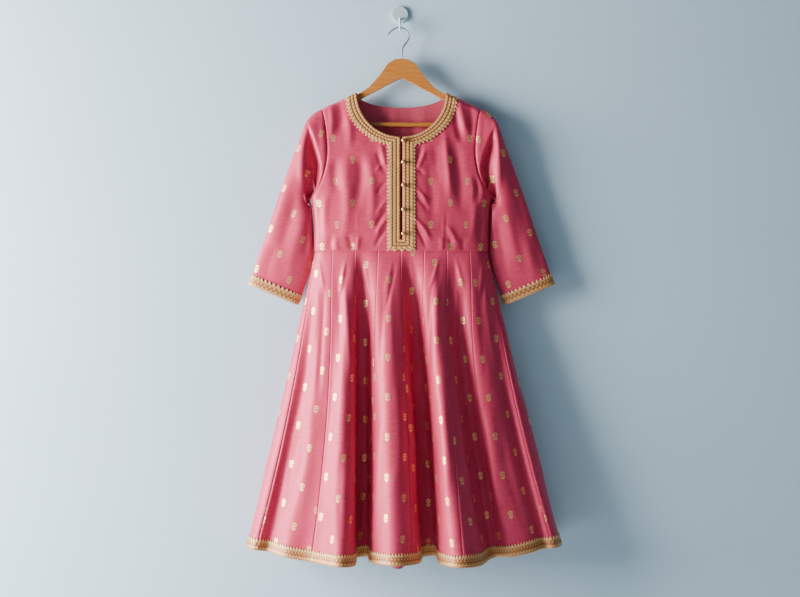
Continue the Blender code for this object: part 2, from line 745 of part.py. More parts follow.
def make_buttons() -> None:
    """Five round buttons beside the slit, each a ball on a short shank."""
    for order, height in enumerate(BUTTON_HEIGHTS, start=1):
        face = body_y(np.array([BUTTON_X]), np.array([height]), "front")[0]
        foot = LACE_LIFT + LACE_WALL + SEAM_GAP
        mesh = bmesh.new()
        profile = [(0.0, foot), (0.0017, foot), (0.0019, foot + 0.0012)]
        ball_y = foot + 0.0008 + BUTTON_RADIUS
        for turn in np.linspace(-0.36, 0.5, 8) * math.pi:
            ring = BUTTON_RADIUS * math.cos(turn)
            profile.append((max(ring, 0.0), ball_y + BUTTON_RADIUS * math.sin(turn)))
        verts = [mesh.verts.new((0, radius, 0)) for radius, _ in profile]
        for vert, (radius, out) in zip(verts, profile):
            vert.co = (GOWN_X + BUTTON_X + radius, face - out, height)
        edges = [mesh.edges.new(pair) for pair in zip(verts, verts[1:])]
        bmesh.ops.spin(
            mesh, geom=verts + edges, cent=(GOWN_X + BUTTON_X, 0, height), axis=(0, 1, 0),
            angle=2 * math.pi, steps=BUTTON_SIDES, use_merge=True,
        )
        bmesh.ops.remove_doubles(mesh, verts=mesh.verts[:], dist=1e-6)
        bmesh.ops.recalc_face_normals(mesh, faces=mesh.faces[:])
        data = bpy.data.meshes.new(f"button_{order}")
        mesh.to_mesh(data)
        mesh.free()
        finish(bpy.data.objects.new(f"button_{order}", data), GOLD)


def make_hanger() -> None:
    """The shaped wooden arms, the bar between their ends and the wire hook."""
    x = column(ARM_ROWS, "x")
    edges = [np.column_stack([x, column(ARM_ROWS, name)]) for name in ("bottom", "top")]
    whole = []
    for edge in edges:
        mirrored = edge[:0:-1] * np.array([-1.0, 1.0])
        whole.append(np.concatenate([mirrored, edge]))
    front = np.stack([
        np.column_stack([GOWN_X + line[:, 0], np.full(len(line), 0.0), line[:, 1]])
        for line in whole
    ])
    back = front.copy()
    front[..., 1] = HANGER_Y - ARM_THICKNESS / 2
    back[..., 1] = HANGER_Y + ARM_THICKNESS / 2
    arms = wall("hanger_arms", WOOD, [(front, back)])
    bevel = arms.modifiers.new("rounded edges", "BEVEL")
    bevel.width = 0.0042
    bevel.segments = 2
    bevel.limit_method = "ANGLE"
    bevel.angle_limit = math.radians(60)
    tube("hanger_bar", WOOD, [(GOWN_X - BAR_HALF, HANGER_Y, BAR_Z),
                              (GOWN_X + BAR_HALF, HANGER_Y, BAR_Z)], BAR_RADIUS, 3)
    route = smooth_line([(point.x * MM, HANGER_Y, point.z * MM) for point in HOOK_ROUTE], 4, False)
    tube("hanger_hook", STEEL, route, WIRE_RADIUS, 2)


def tube(name: str, look: tuple, route: list, radius: float, resolution: int) -> None:
    """A round bar or wire along a route, with flat ends."""
    curve = bpy.data.curves.new(name, "CURVE")
    curve.dimensions = "3D"
    curve.bevel_depth = radius
    curve.bevel_resolution = resolution
    curve.use_fill_caps = True
    spline = curve.splines.new("POLY")
    spline.points.add(len(route) - 1)
    for point, place in zip(spline.points, route):
        point.co = (*place, 1)
    finish(bpy.data.objects.new(name, curve), look)


def make_wall_hook() -> None:
    """The round plate on the wall, and the bent peg that the hanger's wire lies in."""
    mesh = bmesh.new()
    bmesh.ops.create_cone(
        mesh, cap_ends=True, segments=40, radius1=PLATE_RADIUS, radius2=PLATE_RADIUS,
        depth=PLATE_THICKNESS,
    )
    for vert in mesh.verts:
        x, y, z = vert.co
        vert.co = (x, -PLATE_THICKNESS / 2 + z, -y)
    rim = [
        edge for edge in mesh.edges
        if all(vert.co.y < -PLATE_THICKNESS * 0.9 for vert in edge.verts)
    ]
    mesh.normal_update()
    bmesh.ops.bevel(
        mesh, geom=rim, offset=0.0015, segments=2, profile=0.5, affect="EDGES", material=-1
    )
    bmesh.ops.recalc_face_normals(mesh, faces=mesh.faces[:])
    data = bpy.data.meshes.new("wall_plate")
    mesh.to_mesh(data)
    mesh.free()
    finish(bpy.data.objects.new("wall_plate", data), PLATE, 30)
    route = smooth_line([(0.0, point.y * MM, point.z * MM) for point in PEG_ROUTE], 4, False)
    tube("wall_peg", PLATE, route, PEG_RADIUS, 2)


def main() -> None:
    """Builds the whole part."""
    clear_scene()
    make_wall_hook()
    make_hanger()
    make_bodice()
    make_sleeves()
    make_skirt()
    make_neck_lace()
    make_buttons()


main()
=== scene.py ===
"""Looks of the anarkali gown of pink art silk with gold lace, on its wooden hanger and wall hook.

Metres, +Z up, +X to the viewer's right, +Y into the wall; the tables and the laces' weaves are in
millimetres. A cloth piece is a sheet of points on its solid's form, raised or lowered by its
creases, and given its thickness by a Solidify modifier. Its "cut" map holds places on the flat cut.
"""

import logging
import math
from dataclasses import dataclass
from enum import Enum
from typing import NamedTuple

import bmesh
import bpy
import numpy as np
from bpy.types import ID, Material, Node, NodeSocket, NodeTree, Object
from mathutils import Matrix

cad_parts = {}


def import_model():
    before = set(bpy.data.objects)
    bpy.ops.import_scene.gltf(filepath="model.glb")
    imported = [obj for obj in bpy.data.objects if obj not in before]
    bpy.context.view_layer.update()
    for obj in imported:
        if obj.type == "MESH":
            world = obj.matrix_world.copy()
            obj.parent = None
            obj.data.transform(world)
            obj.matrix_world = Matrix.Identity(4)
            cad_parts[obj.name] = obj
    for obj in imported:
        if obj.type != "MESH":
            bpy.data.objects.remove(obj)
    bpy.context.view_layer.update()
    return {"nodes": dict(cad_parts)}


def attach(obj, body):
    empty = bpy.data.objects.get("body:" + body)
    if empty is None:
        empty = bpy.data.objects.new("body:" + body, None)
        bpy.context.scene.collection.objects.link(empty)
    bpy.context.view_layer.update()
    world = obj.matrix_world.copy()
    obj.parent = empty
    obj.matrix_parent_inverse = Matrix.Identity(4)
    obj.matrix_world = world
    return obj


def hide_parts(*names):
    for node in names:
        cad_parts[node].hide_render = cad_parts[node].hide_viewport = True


log = logging.getLogger("gown")
Array = np.ndarray

MM = 0.001
GOWN_X = 0.0033  # the gown's centre line
HANGER_Y = -0.0275  # the middle of the hanger's depth
SEAM_GAP = 0.0003  # what the solids keep between them
SHELL = 0.0011  # the cloth's thickness
WAIST_Z = -0.583
NECK_X, NECK_Z = 0.108, -0.196  # the neck's end on the shoulder
TIP_X, TIP_Z = 0.1925, -0.2356  # the shoulder's tip
FRONT_NECK_DROP = 0.1115
PANELS = 8  # kalis on each side


class Facing(Enum):
    """Which side of the gown a panel is on."""

    FRONT = "front"
    BACK = "back"


class Side(Enum):
    """Left or right as the viewer sees the gown; the value mirrors x."""

    LEFT = -1
    RIGHT = 1


# Shape tables, in millimetres


class BodyRow(NamedTuple):
    """One level of the bodice: half width, and y of its side, front and back."""

    z: float
    half_width: float
    side: float
    front: float
    back: float


class EdgePoint(NamedTuple):
    """A point of a bodice panel's outer edge, from the centre line."""

    z: float
    x: float


class PanelRow(NamedTuple):
    """One row of a bodice half: its height at the side edge and at the centre edge."""

    side: float
    centre: float


class SleeveRow(NamedTuple):
    """One ring of a sleeve: its outer and inner edge, mid plane and depth."""

    outer_x: float
    outer_z: float
    inner_x: float
    inner_z: float
    mid_y: float
    depth: float


class Fold(NamedTuple):
    """One fold line of the skirt: x at waist, middle and hem, y at middle and hem."""

    name: str
    x_waist: float
    x_middle: float
    x_hem: float
    y_middle: float
    y_hem: float
    drop: float


class Crease(NamedTuple):
    """A soft trough (height below 0) or ridge along a path of (x, z) places.

    start and end are the shares of its height at the path's two ends; inner is its width on the
    side of the gown's centre line, where that differs.
    """

    path: tuple
    width: float
    height: float
    start: float = 0.0
    end: float = 0.0
    inner: float = 0.0


BODY_ROWS = tuple(BodyRow(*row) for row in (
    (-583, 210, -49, -86, -15), (-540, 210.5, -47, -84, -14), (-500, 212.5, -45, -80, -13),
    (-453, 218.5, -42, -74, -12), (-400, 230, -38, -67, -12), (-340, 250, -34, -58, -12),
    (-280, 290, -31, -48, -12.5), (-190, 320, -29, -41, -13),
))
SIDE_EDGE = tuple(EdgePoint(*row) for row in (
    (-583, 210), (-540, 210.5), (-500, 212.5), (-453.5, 218), (-443, 209.5), (-420, 195.5), (-385, 183.5),
    (-345, 178), (-300, 180.5), (-262, 186), (-235.6, 192.5),
))
FRONT_ROWS = tuple(PanelRow(*row) for row in (
    (-582.7, -582.7), (-558, -558), (-554, -552), (-520, -500), (-487, -430), (-454.4, -370), (-443, -335),
    (-420, -307.3), (-385, -302), (-345, -288), (-300, -265), (-265, -235), (-250, -214), (-243.5, -206),
    (-239, -200.5), (-236.3, -197), (-235.6, -196),
))
BACK_ROWS = tuple(PanelRow(*row) for row in (
    (-582.7, -582.7), (-535, -525), (-487, -460), (-454.4, -400), (-443, -370), (-420, -330), (-385, -285),
    (-345, -250), (-300, -230.6), (-265, -228.5), (-250, -221), (-243.5, -209), (-239, -201.5),
    (-236.3, -197), (-235.6, -196),
))
SLEEVE_ROWS = tuple(SleeveRow(*row) for row in (
    (193, -235.6, 218.3, -453.8, -33, 38), (206, -242.5, 220.5, -459, -34, 42),
    (219, -253, 220.8, -468, -34, 44), (233, -272, 219.3, -481, -35, 45),
    (248.5, -315, 216.8, -505, -36, 46), (270.5, -375, 215, -537, -37, 46),
    (300.5, -460, 215, -583, -37, 43), (330.5, -550, 224, -634, -37, 38), (352, -611, 235, -671, -37, 33),
    (360.5, -636.5, 240.5, -687, -37, 31), (370, -663, 252.5, -712.5, -37, 29),
))
FRONT_FOLDS = tuple(Fold(*row) for row in (
    ("left side seam", -206.7, -259, -338, -88, -122, -9),
    ("left edge valley", -192, -238, -319, -82, -108, -8),
    ("left fan start", -176, -209, -268, -106, -142, -4),
    ("left fan middle", -158, -186, -221, -112, -148, 0), ("left fan end", -142, -162, -183, -117, -166, 3),
    ("left ridge", -124, -133, -137, -138, -202, 6),
    ("left ridge flank", -106, -108.5, -106.5, -122, -172, 6),
    ("left valley start", -98, -101, -101.5, -68, -88, 0), ("left valley end", -88, -80, -78, -63, -76, 0),
    ("centre flank left", -72, -62, -65.5, -112, -158, 0), ("centre ridge", -42, -26, -11.5, -143, -204, 3),
    ("centre flank right", 2, 21, 41, -119, -168, 2), ("right valley start", 15, 36, 57, -68, -84, 0),
    ("right valley end", 29, 60, 83, -62, -76, 0), ("right flank", 45, 74.5, 95, -112, -164, 4),
    ("right ridge", 70, 98, 132, -141, -206, 9), ("right ridge end", 98, 131, 181, -124, -186, 9),
    ("right shallow valley", 124, 162, 222, -78, -104, 3),
    ("right fan start", 150, 198, 262, -106, -136, -2), ("right fan end", 174, 237, 317, -96, -128, -8),
    ("right edge valley", 190, 257, 341, -80, -106, -10),
    ("right side seam", 213.3, 273.5, 362, -88, -118, -10),
))
BACK_FOLDS = tuple(Fold(*row) for row in (
    ("right silhouette", 213.1, 295, 384.5, -62, -88, -9),
    ("right back corner", 200, 280, 372, -34, -44, -8),
    ("right back outer ridge", 178, 250, 334, -13, -13, -4),
    ("right back outer valley", 152, 216, 288, -44, -72, 0),
    ("right back ridge", 128, 180, 238, -13, -13, 0), ("right back valley", 88, 124, 164, -58, -98, 0),
    ("right back inner ridge", 54, 76, 98, -12, -13, 0), ("right back flat", 30, 38, 50, -13, -14, 0),
    ("centre back valley", 0, -2, -5, -66, -133, 27), ("left back flat", -28, -40, -59, -13, -14, 0),
    ("left back inner ridge", -54, -74, -98, -12, -13, 0),
    ("left back valley", -84, -118, -152, -58, -96, 0), ("left back ridge", -118, -160, -208, -13, -13, 0),
    ("left back outer valley", -146, -196, -256, -46, -74, 0),
    ("left back outer ridge", -172, -232, -308, -13, -13, -4),
    ("left back corner", -194, -266, -350, -34, -46, -7),
    ("left silhouette", -206.5, -282.5, -364.5, -66, -94, -8),
))
# From the gown's centre line, on the bodice front
BODICE_CREASES = tuple(Crease(*row) for row in (
    (((-150, -225), (-146, -262), (-152, -310)), 11, -2.2, 0.6),
    (((-170, -232), (-168, -272), (-173, -318)), 8, 1.6, 0.5),
    (((-132, -240), (-124, -290), (-127, -345)), 10, 1.8, 0.2),
    (((-101, -345), (-98, -400), (-106, -468)), 12, -3.2, 0, 0.4),
    (((-128, -330), (-133, -400), (-129, -470), (-138, -560)), 12, 2.2, 0, 0.3),
    (((-155, -350), (-160, -400), (-152, -455)), 11, -2.4),
    (((-176, -430), (-184, -480), (-181, -545)), 9, 1.7, 0, 0.2),
    (((-193, -462), (-199, -515), (-196, -572)), 7, -1.8, 0.2, 0.2),
    (((-82, -330), (-72, -400), (-68, -470), (-72, -540)), 11, 2),
    (((-52, -316), (-44, -352), (-36, -380)), 6, 1.5, 0.1, 0.3),
    (((-60, -338), (-50, -372), (-38, -398)), 5, -1.6, 0.1, 0.3),
    (((-64, -398), (-52, -380), (-36, -368)), 5, 1.1, 0, 0.4),
    (((-62, -452), (-50, -432), (-36, -416)), 4.5, -1.3, 0, 0.5),
    (((-60, -500), (-48, -478), (-36, -462)), 4.5, 1.4, 0, 0.5),
    (((-63, -528), (-50, -505), (-35, -486)), 4.5, -1.9, 0.1, 0.6),
    (((-62, -548), (-50, -526), (-35, -506)), 4.5, 1.9, 0.1, 0.6),
    (((-61, -570), (-50, -549), (-35, -530)), 4, -1.7, 0.4, 0.6),
    (((-96, -545), (-104, -562), (-106, -580)), 5, 1.4, 0, 0.6),
    (((-128, -540), (-122, -562), (-116, -580)), 5, -1.5, 0, 0.7),
    (((-152, -548), (-156, -566), (-154, -582)), 5, 1.3, 0, 0.7),
    (((-166, -540), (-170, -562), (-169, -582)), 5, -1.3, 0, 0.7),
    (((140, -222), (148, -262), (158, -306)), 10, 2.6, 0.5),
    (((126, -238), (136, -280), (148, -330)), 9, -2.6, 0.4),
    (((167, -232), (172, -275), (171, -330)), 8, -1.8, 0.5),
    (((104, -286), (109, -345), (114, -405), (117, -470)), 9, 3, 0.2, 0.1),
    (((127, -300), (134, -360), (141, -430), (144, -505)), 12, -3.4),
    (((80, -310), (84, -370), (90, -440)), 10, -1.6),
    (((170, -380), (174, -430), (176, -500), (168, -565)), 10, 2, 0, 0.2),
    (((176, -395), (182, -440), (172, -476)), 6, -2, 0.1),
    (((188, -408), (194, -448), (186, -486)), 6, 1.7, 0.1),
    (((192, -480), (188, -530), (194, -575)), 8, -1.6, 0, 0.2),
    (((66, -330), (70, -400), (74, -470), (70, -545)), 12, -1.8),
    (((50, -318), (44, -345), (35, -372)), 5, -1.7, 0.1, 0.4),
    (((60, -330), (50, -360), (35, -392)), 5, 1.6, 0, 0.4),
    (((56, -404), (46, -392), (35, -384)), 4.5, -1, 0, 0.5),
    (((64, -470), (50, -448), (35, -432)), 4.5, 1.4, 0, 0.5),
    (((66, -492), (52, -470), (35, -452)), 4.5, -1.4, 0, 0.5),
    (((70, -560), (54, -530), (35, -508)), 5, 2, 0.2, 0.6),
    (((58, -572), (47, -548), (35, -528)), 4, -1.8, 0.4, 0.6),
    (((108, -520), (122, -544), (134, -568)), 6, 1.8, 0.1, 0.2),
    (((112, -546), (118, -564), (120, -582)), 5, -1.6, 0, 0.7),
    (((92, -546), (96, -564), (94, -582)), 5, 1.2, 0, 0.6),
    (((152, -548), (146, -566), (148, -582)), 5, -1.4, 0, 0.7),
))
# Darts: a fine fold, with its ridge beside it, from mid bodice to the waist
DARTS = tuple(Crease(*row) for row in (
    (((-109, -462), (-108, -520), (-107, -583)), 1.3, -1.3, 0, 1),
    (((-105.4, -466), (-104.6, -520), (-103.6, -583)), 1.8, 0.8, 0, 1),
    (((109, -466), (106, -520), (104, -583)), 1.3, -1.3, 0, 1),
    (((105.4, -470), (102.4, -520), (100.4, -583)), 1.8, 0.8, 0, 1),
))
BACK_CREASES = tuple(Crease(*row) for row in (
    (((-40, -236), (-46, -300), (-40, -380)), 13, 2, 0.4),
    (((-18, -232), (-14, -290), (-20, -350)), 10, -2, 0.4),
    (((22, -232), (28, -300), (20, -372)), 11, 1.9, 0.4),
    (((56, -232), (52, -300), (60, -360)), 11, -2, 0.3),
    (((-132, -250), (-126, -340), (-138, -430)), 14, 2.2, 0.2),
    (((130, -250), (138, -330), (128, -440)), 14, 2.2, 0.2),
    (((-96, -380), (-104, -470), (-98, -560)), 13, -2.4, 0, 0.2),
    (((92, -390), (102, -470), (94, -565)), 13, -2.4, 0, 0.2),
    (((-166, -470), (-158, -520), (-164, -575)), 9, 1.6, 0, 0.3),
    (((168, -460), (160, -520), (166, -575)), 9, 1.6, 0, 0.3),
    (((-48, -470), (-40, -530), (-44, -580)), 10, 1.6, 0, 0.5),
    (((40, -480), (48, -530), (42, -580)), 10, 1.6, 0, 0.5),
))
# On a sleeve's front, for the viewer's left and right sleeve
SLEEVE_CREASES = {key: tuple(Crease(*row) for row in rows) for key, rows in {
    Side.LEFT: (
        (((-231, -268), (-211, -335), (-200, -388), (-207, -425), (-219, -462)), 24, -12, 0.1, 0.6, 4.5),
        (((-213, -328), (-202, -388), (-208, -425), (-219, -458)), 14, -6, 0, 0.5, 4.5),
        (((-226, -268), (-236, -330), (-240, -392), (-236, -445)), 10, 4.5, 0.2),
        (((-191, -262), (-187, -320), (-189, -372)), 6, 3, 0.3, 0.2),
        (((-262, -380), (-284, -450), (-306, -520), (-322, -575)), 15, 4),
        (((-252, -420), (-262, -480), (-280, -545), (-296, -600)), 13, -4.2, 0, 0.2),
        (((-234, -470), (-244, -530), (-262, -590), (-272, -650)), 13, 3.6, 0, 0.3),
        (((-222, -500), (-226, -550), (-236, -610)), 9, -3.4, 0.1, 0.1),
        (((-300, -560), (-318, -610), (-330, -652)), 11, -2.8, 0, 0.5),
        (((-330, -560), (-346, -606), (-358, -640)), 9, 2.2, 0, 0.5),
    ),
    Side.RIGHT: (
        (((229, -278), (208, -340), (197, -390), (206, -425), (220, -462)), 17, -13, 0.1, 0.6, 4),
        (((206, -345), (199, -390), (208, -425), (221, -458)), 13, -6, 0, 0.5, 4),
        (((228, -258), (232, -320), (236, -390), (232, -450)), 9, 5, 0.4),
        (((191, -262), (187, -320), (188, -366)), 5, 2.6, 0.3, 0.2),
        (((252, -330), (270, -410), (292, -490), (310, -560)), 14, -3.8),
        (((240, -440), (256, -500), (270, -570), (286, -640)), 13, 4.2, 0, 0.2),
        (((226, -480), (234, -540), (246, -600), (256, -655)), 11, -4, 0, 0.3),
        (((296, -540), (308, -590), (318, -640)), 12, 3.4, 0, 0.4),
        (((322, -560), (338, -610), (350, -648)), 10, -2.6, 0, 0.5),
    ),
}.items()}
# On a skirt panel, from its middle and down from the waist
KALI_CREASES = {key: tuple(Crease(*row) for row in rows) for key, rows in {
    Facing.FRONT: (
        (((0, -30), (6, -150), (14, -310)), 9, 1.9, 0.035),
        (((-12, -50), (-14, -180), (-24, -350)), 8, -1.7, 0.035),
        (((14, -22), (5, -80), (-9, -150)), 5, -1.1, 0.035),
        (((9, -14), (-4, -66), (-17, -112)), 4.5, 1, 0.035),
        (((20, -300), (34, -460), (30, -640)), 12, 2.2),
        (((-18, -380), (-30, -520), (-44, -700)), 13, 2, 0, 0.3),
        (((2, -430), (-4, -560), (6, -700)), 11, -1.7, 0, 0.2),
    ),
    Facing.BACK: (
        (((4, 0), (8, -160), (2, -330)), 9, 1.8, 0.175),
        (((-10, 0), (-16, -120), (-12, -260)), 8, -1.6, 0.175),
        (((24, -330), (20, -480), (34, -660)), 13, 1.8, 0, 0.2),
        (((-22, -300), (-34, -470), (-30, -650)), 12, -1.6, 0, 0.2),
    ),
}.items()}


def linear(hex_code: str) -> tuple:
    """An sRGB hex colour as linear red, green, blue and alpha."""
    parts = [int(hex_code[i:i + 2], 16) / 255 for i in (1, 3, 5)]
    return (*[p / 12.92 if p <= 0.04045 else ((p + 0.055) / 1.055) ** 2.4 for p in parts], 1.0)


def set_inputs(tree: NodeTree, node: Node, inputs: dict | tuple | list) -> None:
    """Sets or links a node's inputs.

    Args:
        tree: The material's node tree.
        node: The node.
        inputs: Values, sockets, or nodes for their first output; by name or number, or in order.
    """
    for name, value in inputs.items() if isinstance(inputs, dict) else enumerate(inputs):
        if isinstance(value, Node):
            value = value.outputs[0]
        if isinstance(value, NodeSocket):
            tree.links.new(value, node.inputs[name])
        else:
            node.inputs[name].default_value = value


def add_node(tree: NodeTree, kind: str, inputs: dict | tuple | list = (),
             **settings: str | bool) -> Node:
    """Adds a node.

    Args:
        tree: The material's node tree.
        kind: The node's type, without its ShaderNode beginning.
        inputs: What set_inputs takes.
        settings: The node's properties.

    Returns:
        The new node.
    """
    node = tree.nodes.new("ShaderNode" + kind)
    for name, value in settings.items():
        setattr(node, name, value)
    set_inputs(tree, node, inputs)
    return node


def new_material(name: str) -> tuple:
    """A material, its node tree and its Principled shader."""
    material = bpy.data.materials.new(name)
    material.use_nodes = True
    return material, material.node_tree, material.node_tree.nodes["Principled BSDF"]


# Finishes


@dataclass(frozen=True)
class Slub:
    """Streaks of thick thread across a woven cloth, drawn as coarse as they need to show."""

    along: float = 0.024
    across: float = 0.0021
    warp: float = 0.0018
    slow: tuple = (0.11, 0.16)

    def shade(self, tree: NodeTree, cut: Node) -> list:
        """Adds the streaks.

        Args:
            tree: The material's node tree.
            cut: The place on the flat cut.

        Returns:
            Nodes for the weft's streaks, the warp's and the slow change of tone.
        """
        sizes = ((self.along, self.across, 3.0), (self.warp, self.along * 2.2, 2.0), (*self.slow, 2.0))
        found = []
        for wide, high, detail in sizes:
            scaled = add_node(tree, "Mapping", {"Vector": cut, "Scale": (1 / wide, 1 / high, 1)})
            found.append(add_node(tree, "TexNoise", {
                "Vector": scaled, "Scale": 1.0, "Detail": detail, "Roughness": 0.6}))
        return found


@dataclass(frozen=True)
class ButiPattern:
    """The small woven flower with its stem, repeated in half-dropped columns. Metres.

    Each blade, the stem's or a leaf's ellipse, has its centre, turn and radii in mm and degrees.
    """

    column: float
    row: float
    shift_x: float = 0.0
    shift_z: float = 0.0
    lean: float = 0.0
    blades: tuple = (
        ((0.0, -5.2), 0, (0.9, 3.4)), ((3.1, -5.6), 50, (3.7, 1.7)),
        ((-3.1, -5.6), -50, (3.7, 1.7)), ((0.0, -8.8), 0, (2.4, 1.3)),
    )

    def mask(self, tree: NodeTree, cut: Node) -> Node:
        """Adds the motif.

        Args:
            tree: The material's node tree.
            cut: The place on the flat cut, in metres.

        Returns:
            A node that gives 1 on the gold thread.
        """
        across, up = add_node(tree, "SeparateXYZ", [cut]).outputs[:2]
        leant = add_node(tree, "Math", (up, self.lean, across), operation="MULTIPLY_ADD")
        x = add_node(tree, "Math", (leant, self.shift_x), operation="ADD")
        step = add_node(tree, "Math", (x, self.column), operation="DIVIDE")
        index = add_node(tree, "Math", [step], operation="ROUND")
        odd = add_node(tree, "Math", (index, 1.0), operation="PINGPONG")
        z = add_node(tree, "Math", (up, self.shift_z), operation="ADD")
        dropped = add_node(tree, "Math", (odd, self.row / 2, z), operation="MULTIPLY_ADD")
        spot = add_node(tree, "CombineXYZ", [
            add_node(tree, "Math", (value, size / 2, -size / 2), operation="WRAP")
            for value, size in ((x, self.column), (dropped, self.row))
        ])
        whole = self.flower(tree, spot)
        for centre, turn, radii in self.blades:
            ellipse = self.frame(tree, spot, centre, turn, radii)
            away = add_node(tree, "VectorMath", [ellipse], operation="LENGTH").outputs["Value"]
            blade = add_node(tree, "Math", (away, -5.0, 5.0), operation="MULTIPLY_ADD", use_clamp=True)
            whole = add_node(tree, "Math", (whole, blade), operation="MAXIMUM")
        return whole

    def frame(self, tree: NodeTree, spot: Node, centre: tuple, turn: float,
              radii: tuple) -> Node:
        """Adds an ellipse's own coordinates, 1 long at its rim; its sizes are in mm."""
        return add_node(tree, "Mapping", {
            "Vector": spot, "Location": (centre[0] * MM, centre[1] * MM, 0),
            "Rotation": (0, 0, math.radians(turn)), "Scale": (radii[0] * MM, radii[1] * MM, 1),
        }, vector_type="TEXTURE")

    def flower(self, tree: NodeTree, spot: Node) -> Node:
        """Adds the flower's head: six petals round an open heart.

        Args:
            tree: The material's node tree.
            spot: The place from the motif's centre, in metres.

        Returns:
            A node that gives 1 on its thread.
        """
        local = self.frame(tree, spot, (0, 3.2), 0, (7.4, 7.0))
        away = add_node(tree, "VectorMath", [local], operation="LENGTH").outputs["Value"]
        arms = add_node(tree, "SeparateXYZ", [local]).outputs[:2]
        angle = add_node(tree, "Math", arms, operation="ARCTAN2")
        six = add_node(tree, "Math", (angle, 6.0), operation="MULTIPLY")
        petals = add_node(tree, "Math", [six], operation="COSINE")
        edge = add_node(tree, "Math", (petals, -0.09, away), operation="MULTIPLY_ADD")
        inside = add_node(tree, "Math", (edge, -7.0, 5.9), operation="MULTIPLY_ADD", use_clamp=True)
        ring = add_node(tree, "Math", (away, 0.08, 0.2), operation="COMPARE")
        gap = add_node(tree, "Math", (petals, -0.72), operation="LESS_THAN")
        far = add_node(tree, "Math", (away, 0.45), operation="GREATER_THAN")
        slot = add_node(tree, "Math", (gap, far), operation="MULTIPLY")
        holes = add_node(tree, "Math", (ring, slot), operation="MAXIMUM")
        return add_node(tree, "Math", (inside, holes), operation="SUBTRACT", use_clamp=True)


@dataclass(frozen=True)
class ArtSilk:
    """Slubbed art silk, woven plain: a soft broad gloss with fine uneven streaks across."""

    name: str
    pattern: ButiPattern | None = None
    deep: str = "#AE2240"
    light: str = "#E24E70"
    gold: str = "#FFCE84"
    painted_glow: float = 0.0

    def material(self) -> Material:
        """Builds the cloth's material, with the gold butis where it has a pattern."""
        material, tree, shader = new_material(self.name)
        cut = add_node(tree, "UVMap", uv_map="cut")
        weft, warp, slow = Slub().shade(tree, cut)
        mixed = add_node(tree, "Math", (weft, 0.55), operation="MULTIPLY")
        mixed = add_node(tree, "Math", (warp, 0.25, mixed), operation="MULTIPLY_ADD")
        mixed = add_node(tree, "Math", (slow, 0.30, mixed), operation="MULTIPLY_ADD")
        tone = add_node(tree, "MapRange", {"Value": mixed, "From Min": 0.30, "From Max": 0.80})
        colour = add_node(tree, "Mix", {
            0: tone, 6: linear(self.deep), 7: linear(self.light)}, data_type="RGBA").outputs[2]
        height = add_node(tree, "Math", (weft, warp), operation="ADD")
        metal = 0.0
        if self.pattern:
            mask = self.pattern.mask(tree, cut)
            colour = add_node(tree, "Mix", {
                0: mask, 6: colour, 7: linear(self.gold)}, data_type="RGBA").outputs[2]
            metal = add_node(tree, "Math", (mask, 0.85), operation="MULTIPLY")
            height = add_node(tree, "Math", (mask, 0.8, height), operation="MULTIPLY_ADD")
        # The pink tint keeps the silk's gloss the cloth's colour, as smooth bright yarn does, and
        # the painted glow is emission that stands in for what little daylight comes through the cloth, seen
        # on its inside only
        set_inputs(tree, shader, {
            "Base Color": colour, "Metallic": metal, "Roughness": 0.46,
            "Normal": add_node(tree, "Bump", {"Strength": 0.2, "Distance": 0.0004, "Height": height}),
            "Specular IOR Level": 0.9, "Specular Tint": linear("#FF86A2"),
            "Sheen Weight": 0.06, "Sheen Roughness": 0.4, "Sheen Tint": linear("#FF8FB2"),
            "Emission Color": linear(self.deep), "Emission Strength": self.painted_glow,
        })
        return material


@dataclass(frozen=True)
class ZariLace:
    """Woven braid of gilt thread: bright on its raised plaits, with painted shading down their sides, brown
    and pink between them.
    """

    name: str = "zari braid"
    dark: str = "#702820"
    middle: str = "#BE7A42"
    bright: str = "#FBD48E"

    def material(self) -> Material:
        """Builds the lace's material; "tone", its thread colour and painted shade, runs dark to bright."""
        material, tree, shader = new_material(self.name)
        tone = add_node(tree, "Attribute", attribute_name="tone").outputs["Fac"]
        place = add_node(tree, "TexCoord").outputs["Object"]
        grain = add_node(tree, "TexNoise", {"Vector": place, "Scale": 900.0, "Detail": 2.0})
        lifted = add_node(tree, "Math", (grain, 0.34, tone), operation="MULTIPLY_ADD")
        level = add_node(tree, "Math", (lifted, 0.17), operation="SUBTRACT", use_clamp=True)
        # The ramp turns tone into colour: brown and pink thread and painted shade at its dark end, gilt
        # thread at its bright end
        ramp = add_node(tree, "ValToRGB", [level])
        stops = ramp.color_ramp.elements
        stops[0].color = linear(self.dark)
        stops[1].color = linear(self.bright)
        stops.new(0.5).color = linear(self.middle)
        # Mostly dull, since much of the braid is cotton thread; the fine grain breaks its glints
        set_inputs(tree, shader, {
            "Base Color": ramp, "Metallic": 0.2, "Roughness": 0.42,
            "Normal": add_node(tree, "Bump", {"Strength": 0.35, "Distance": 0.0004, "Height": grain}),
        })
        return material


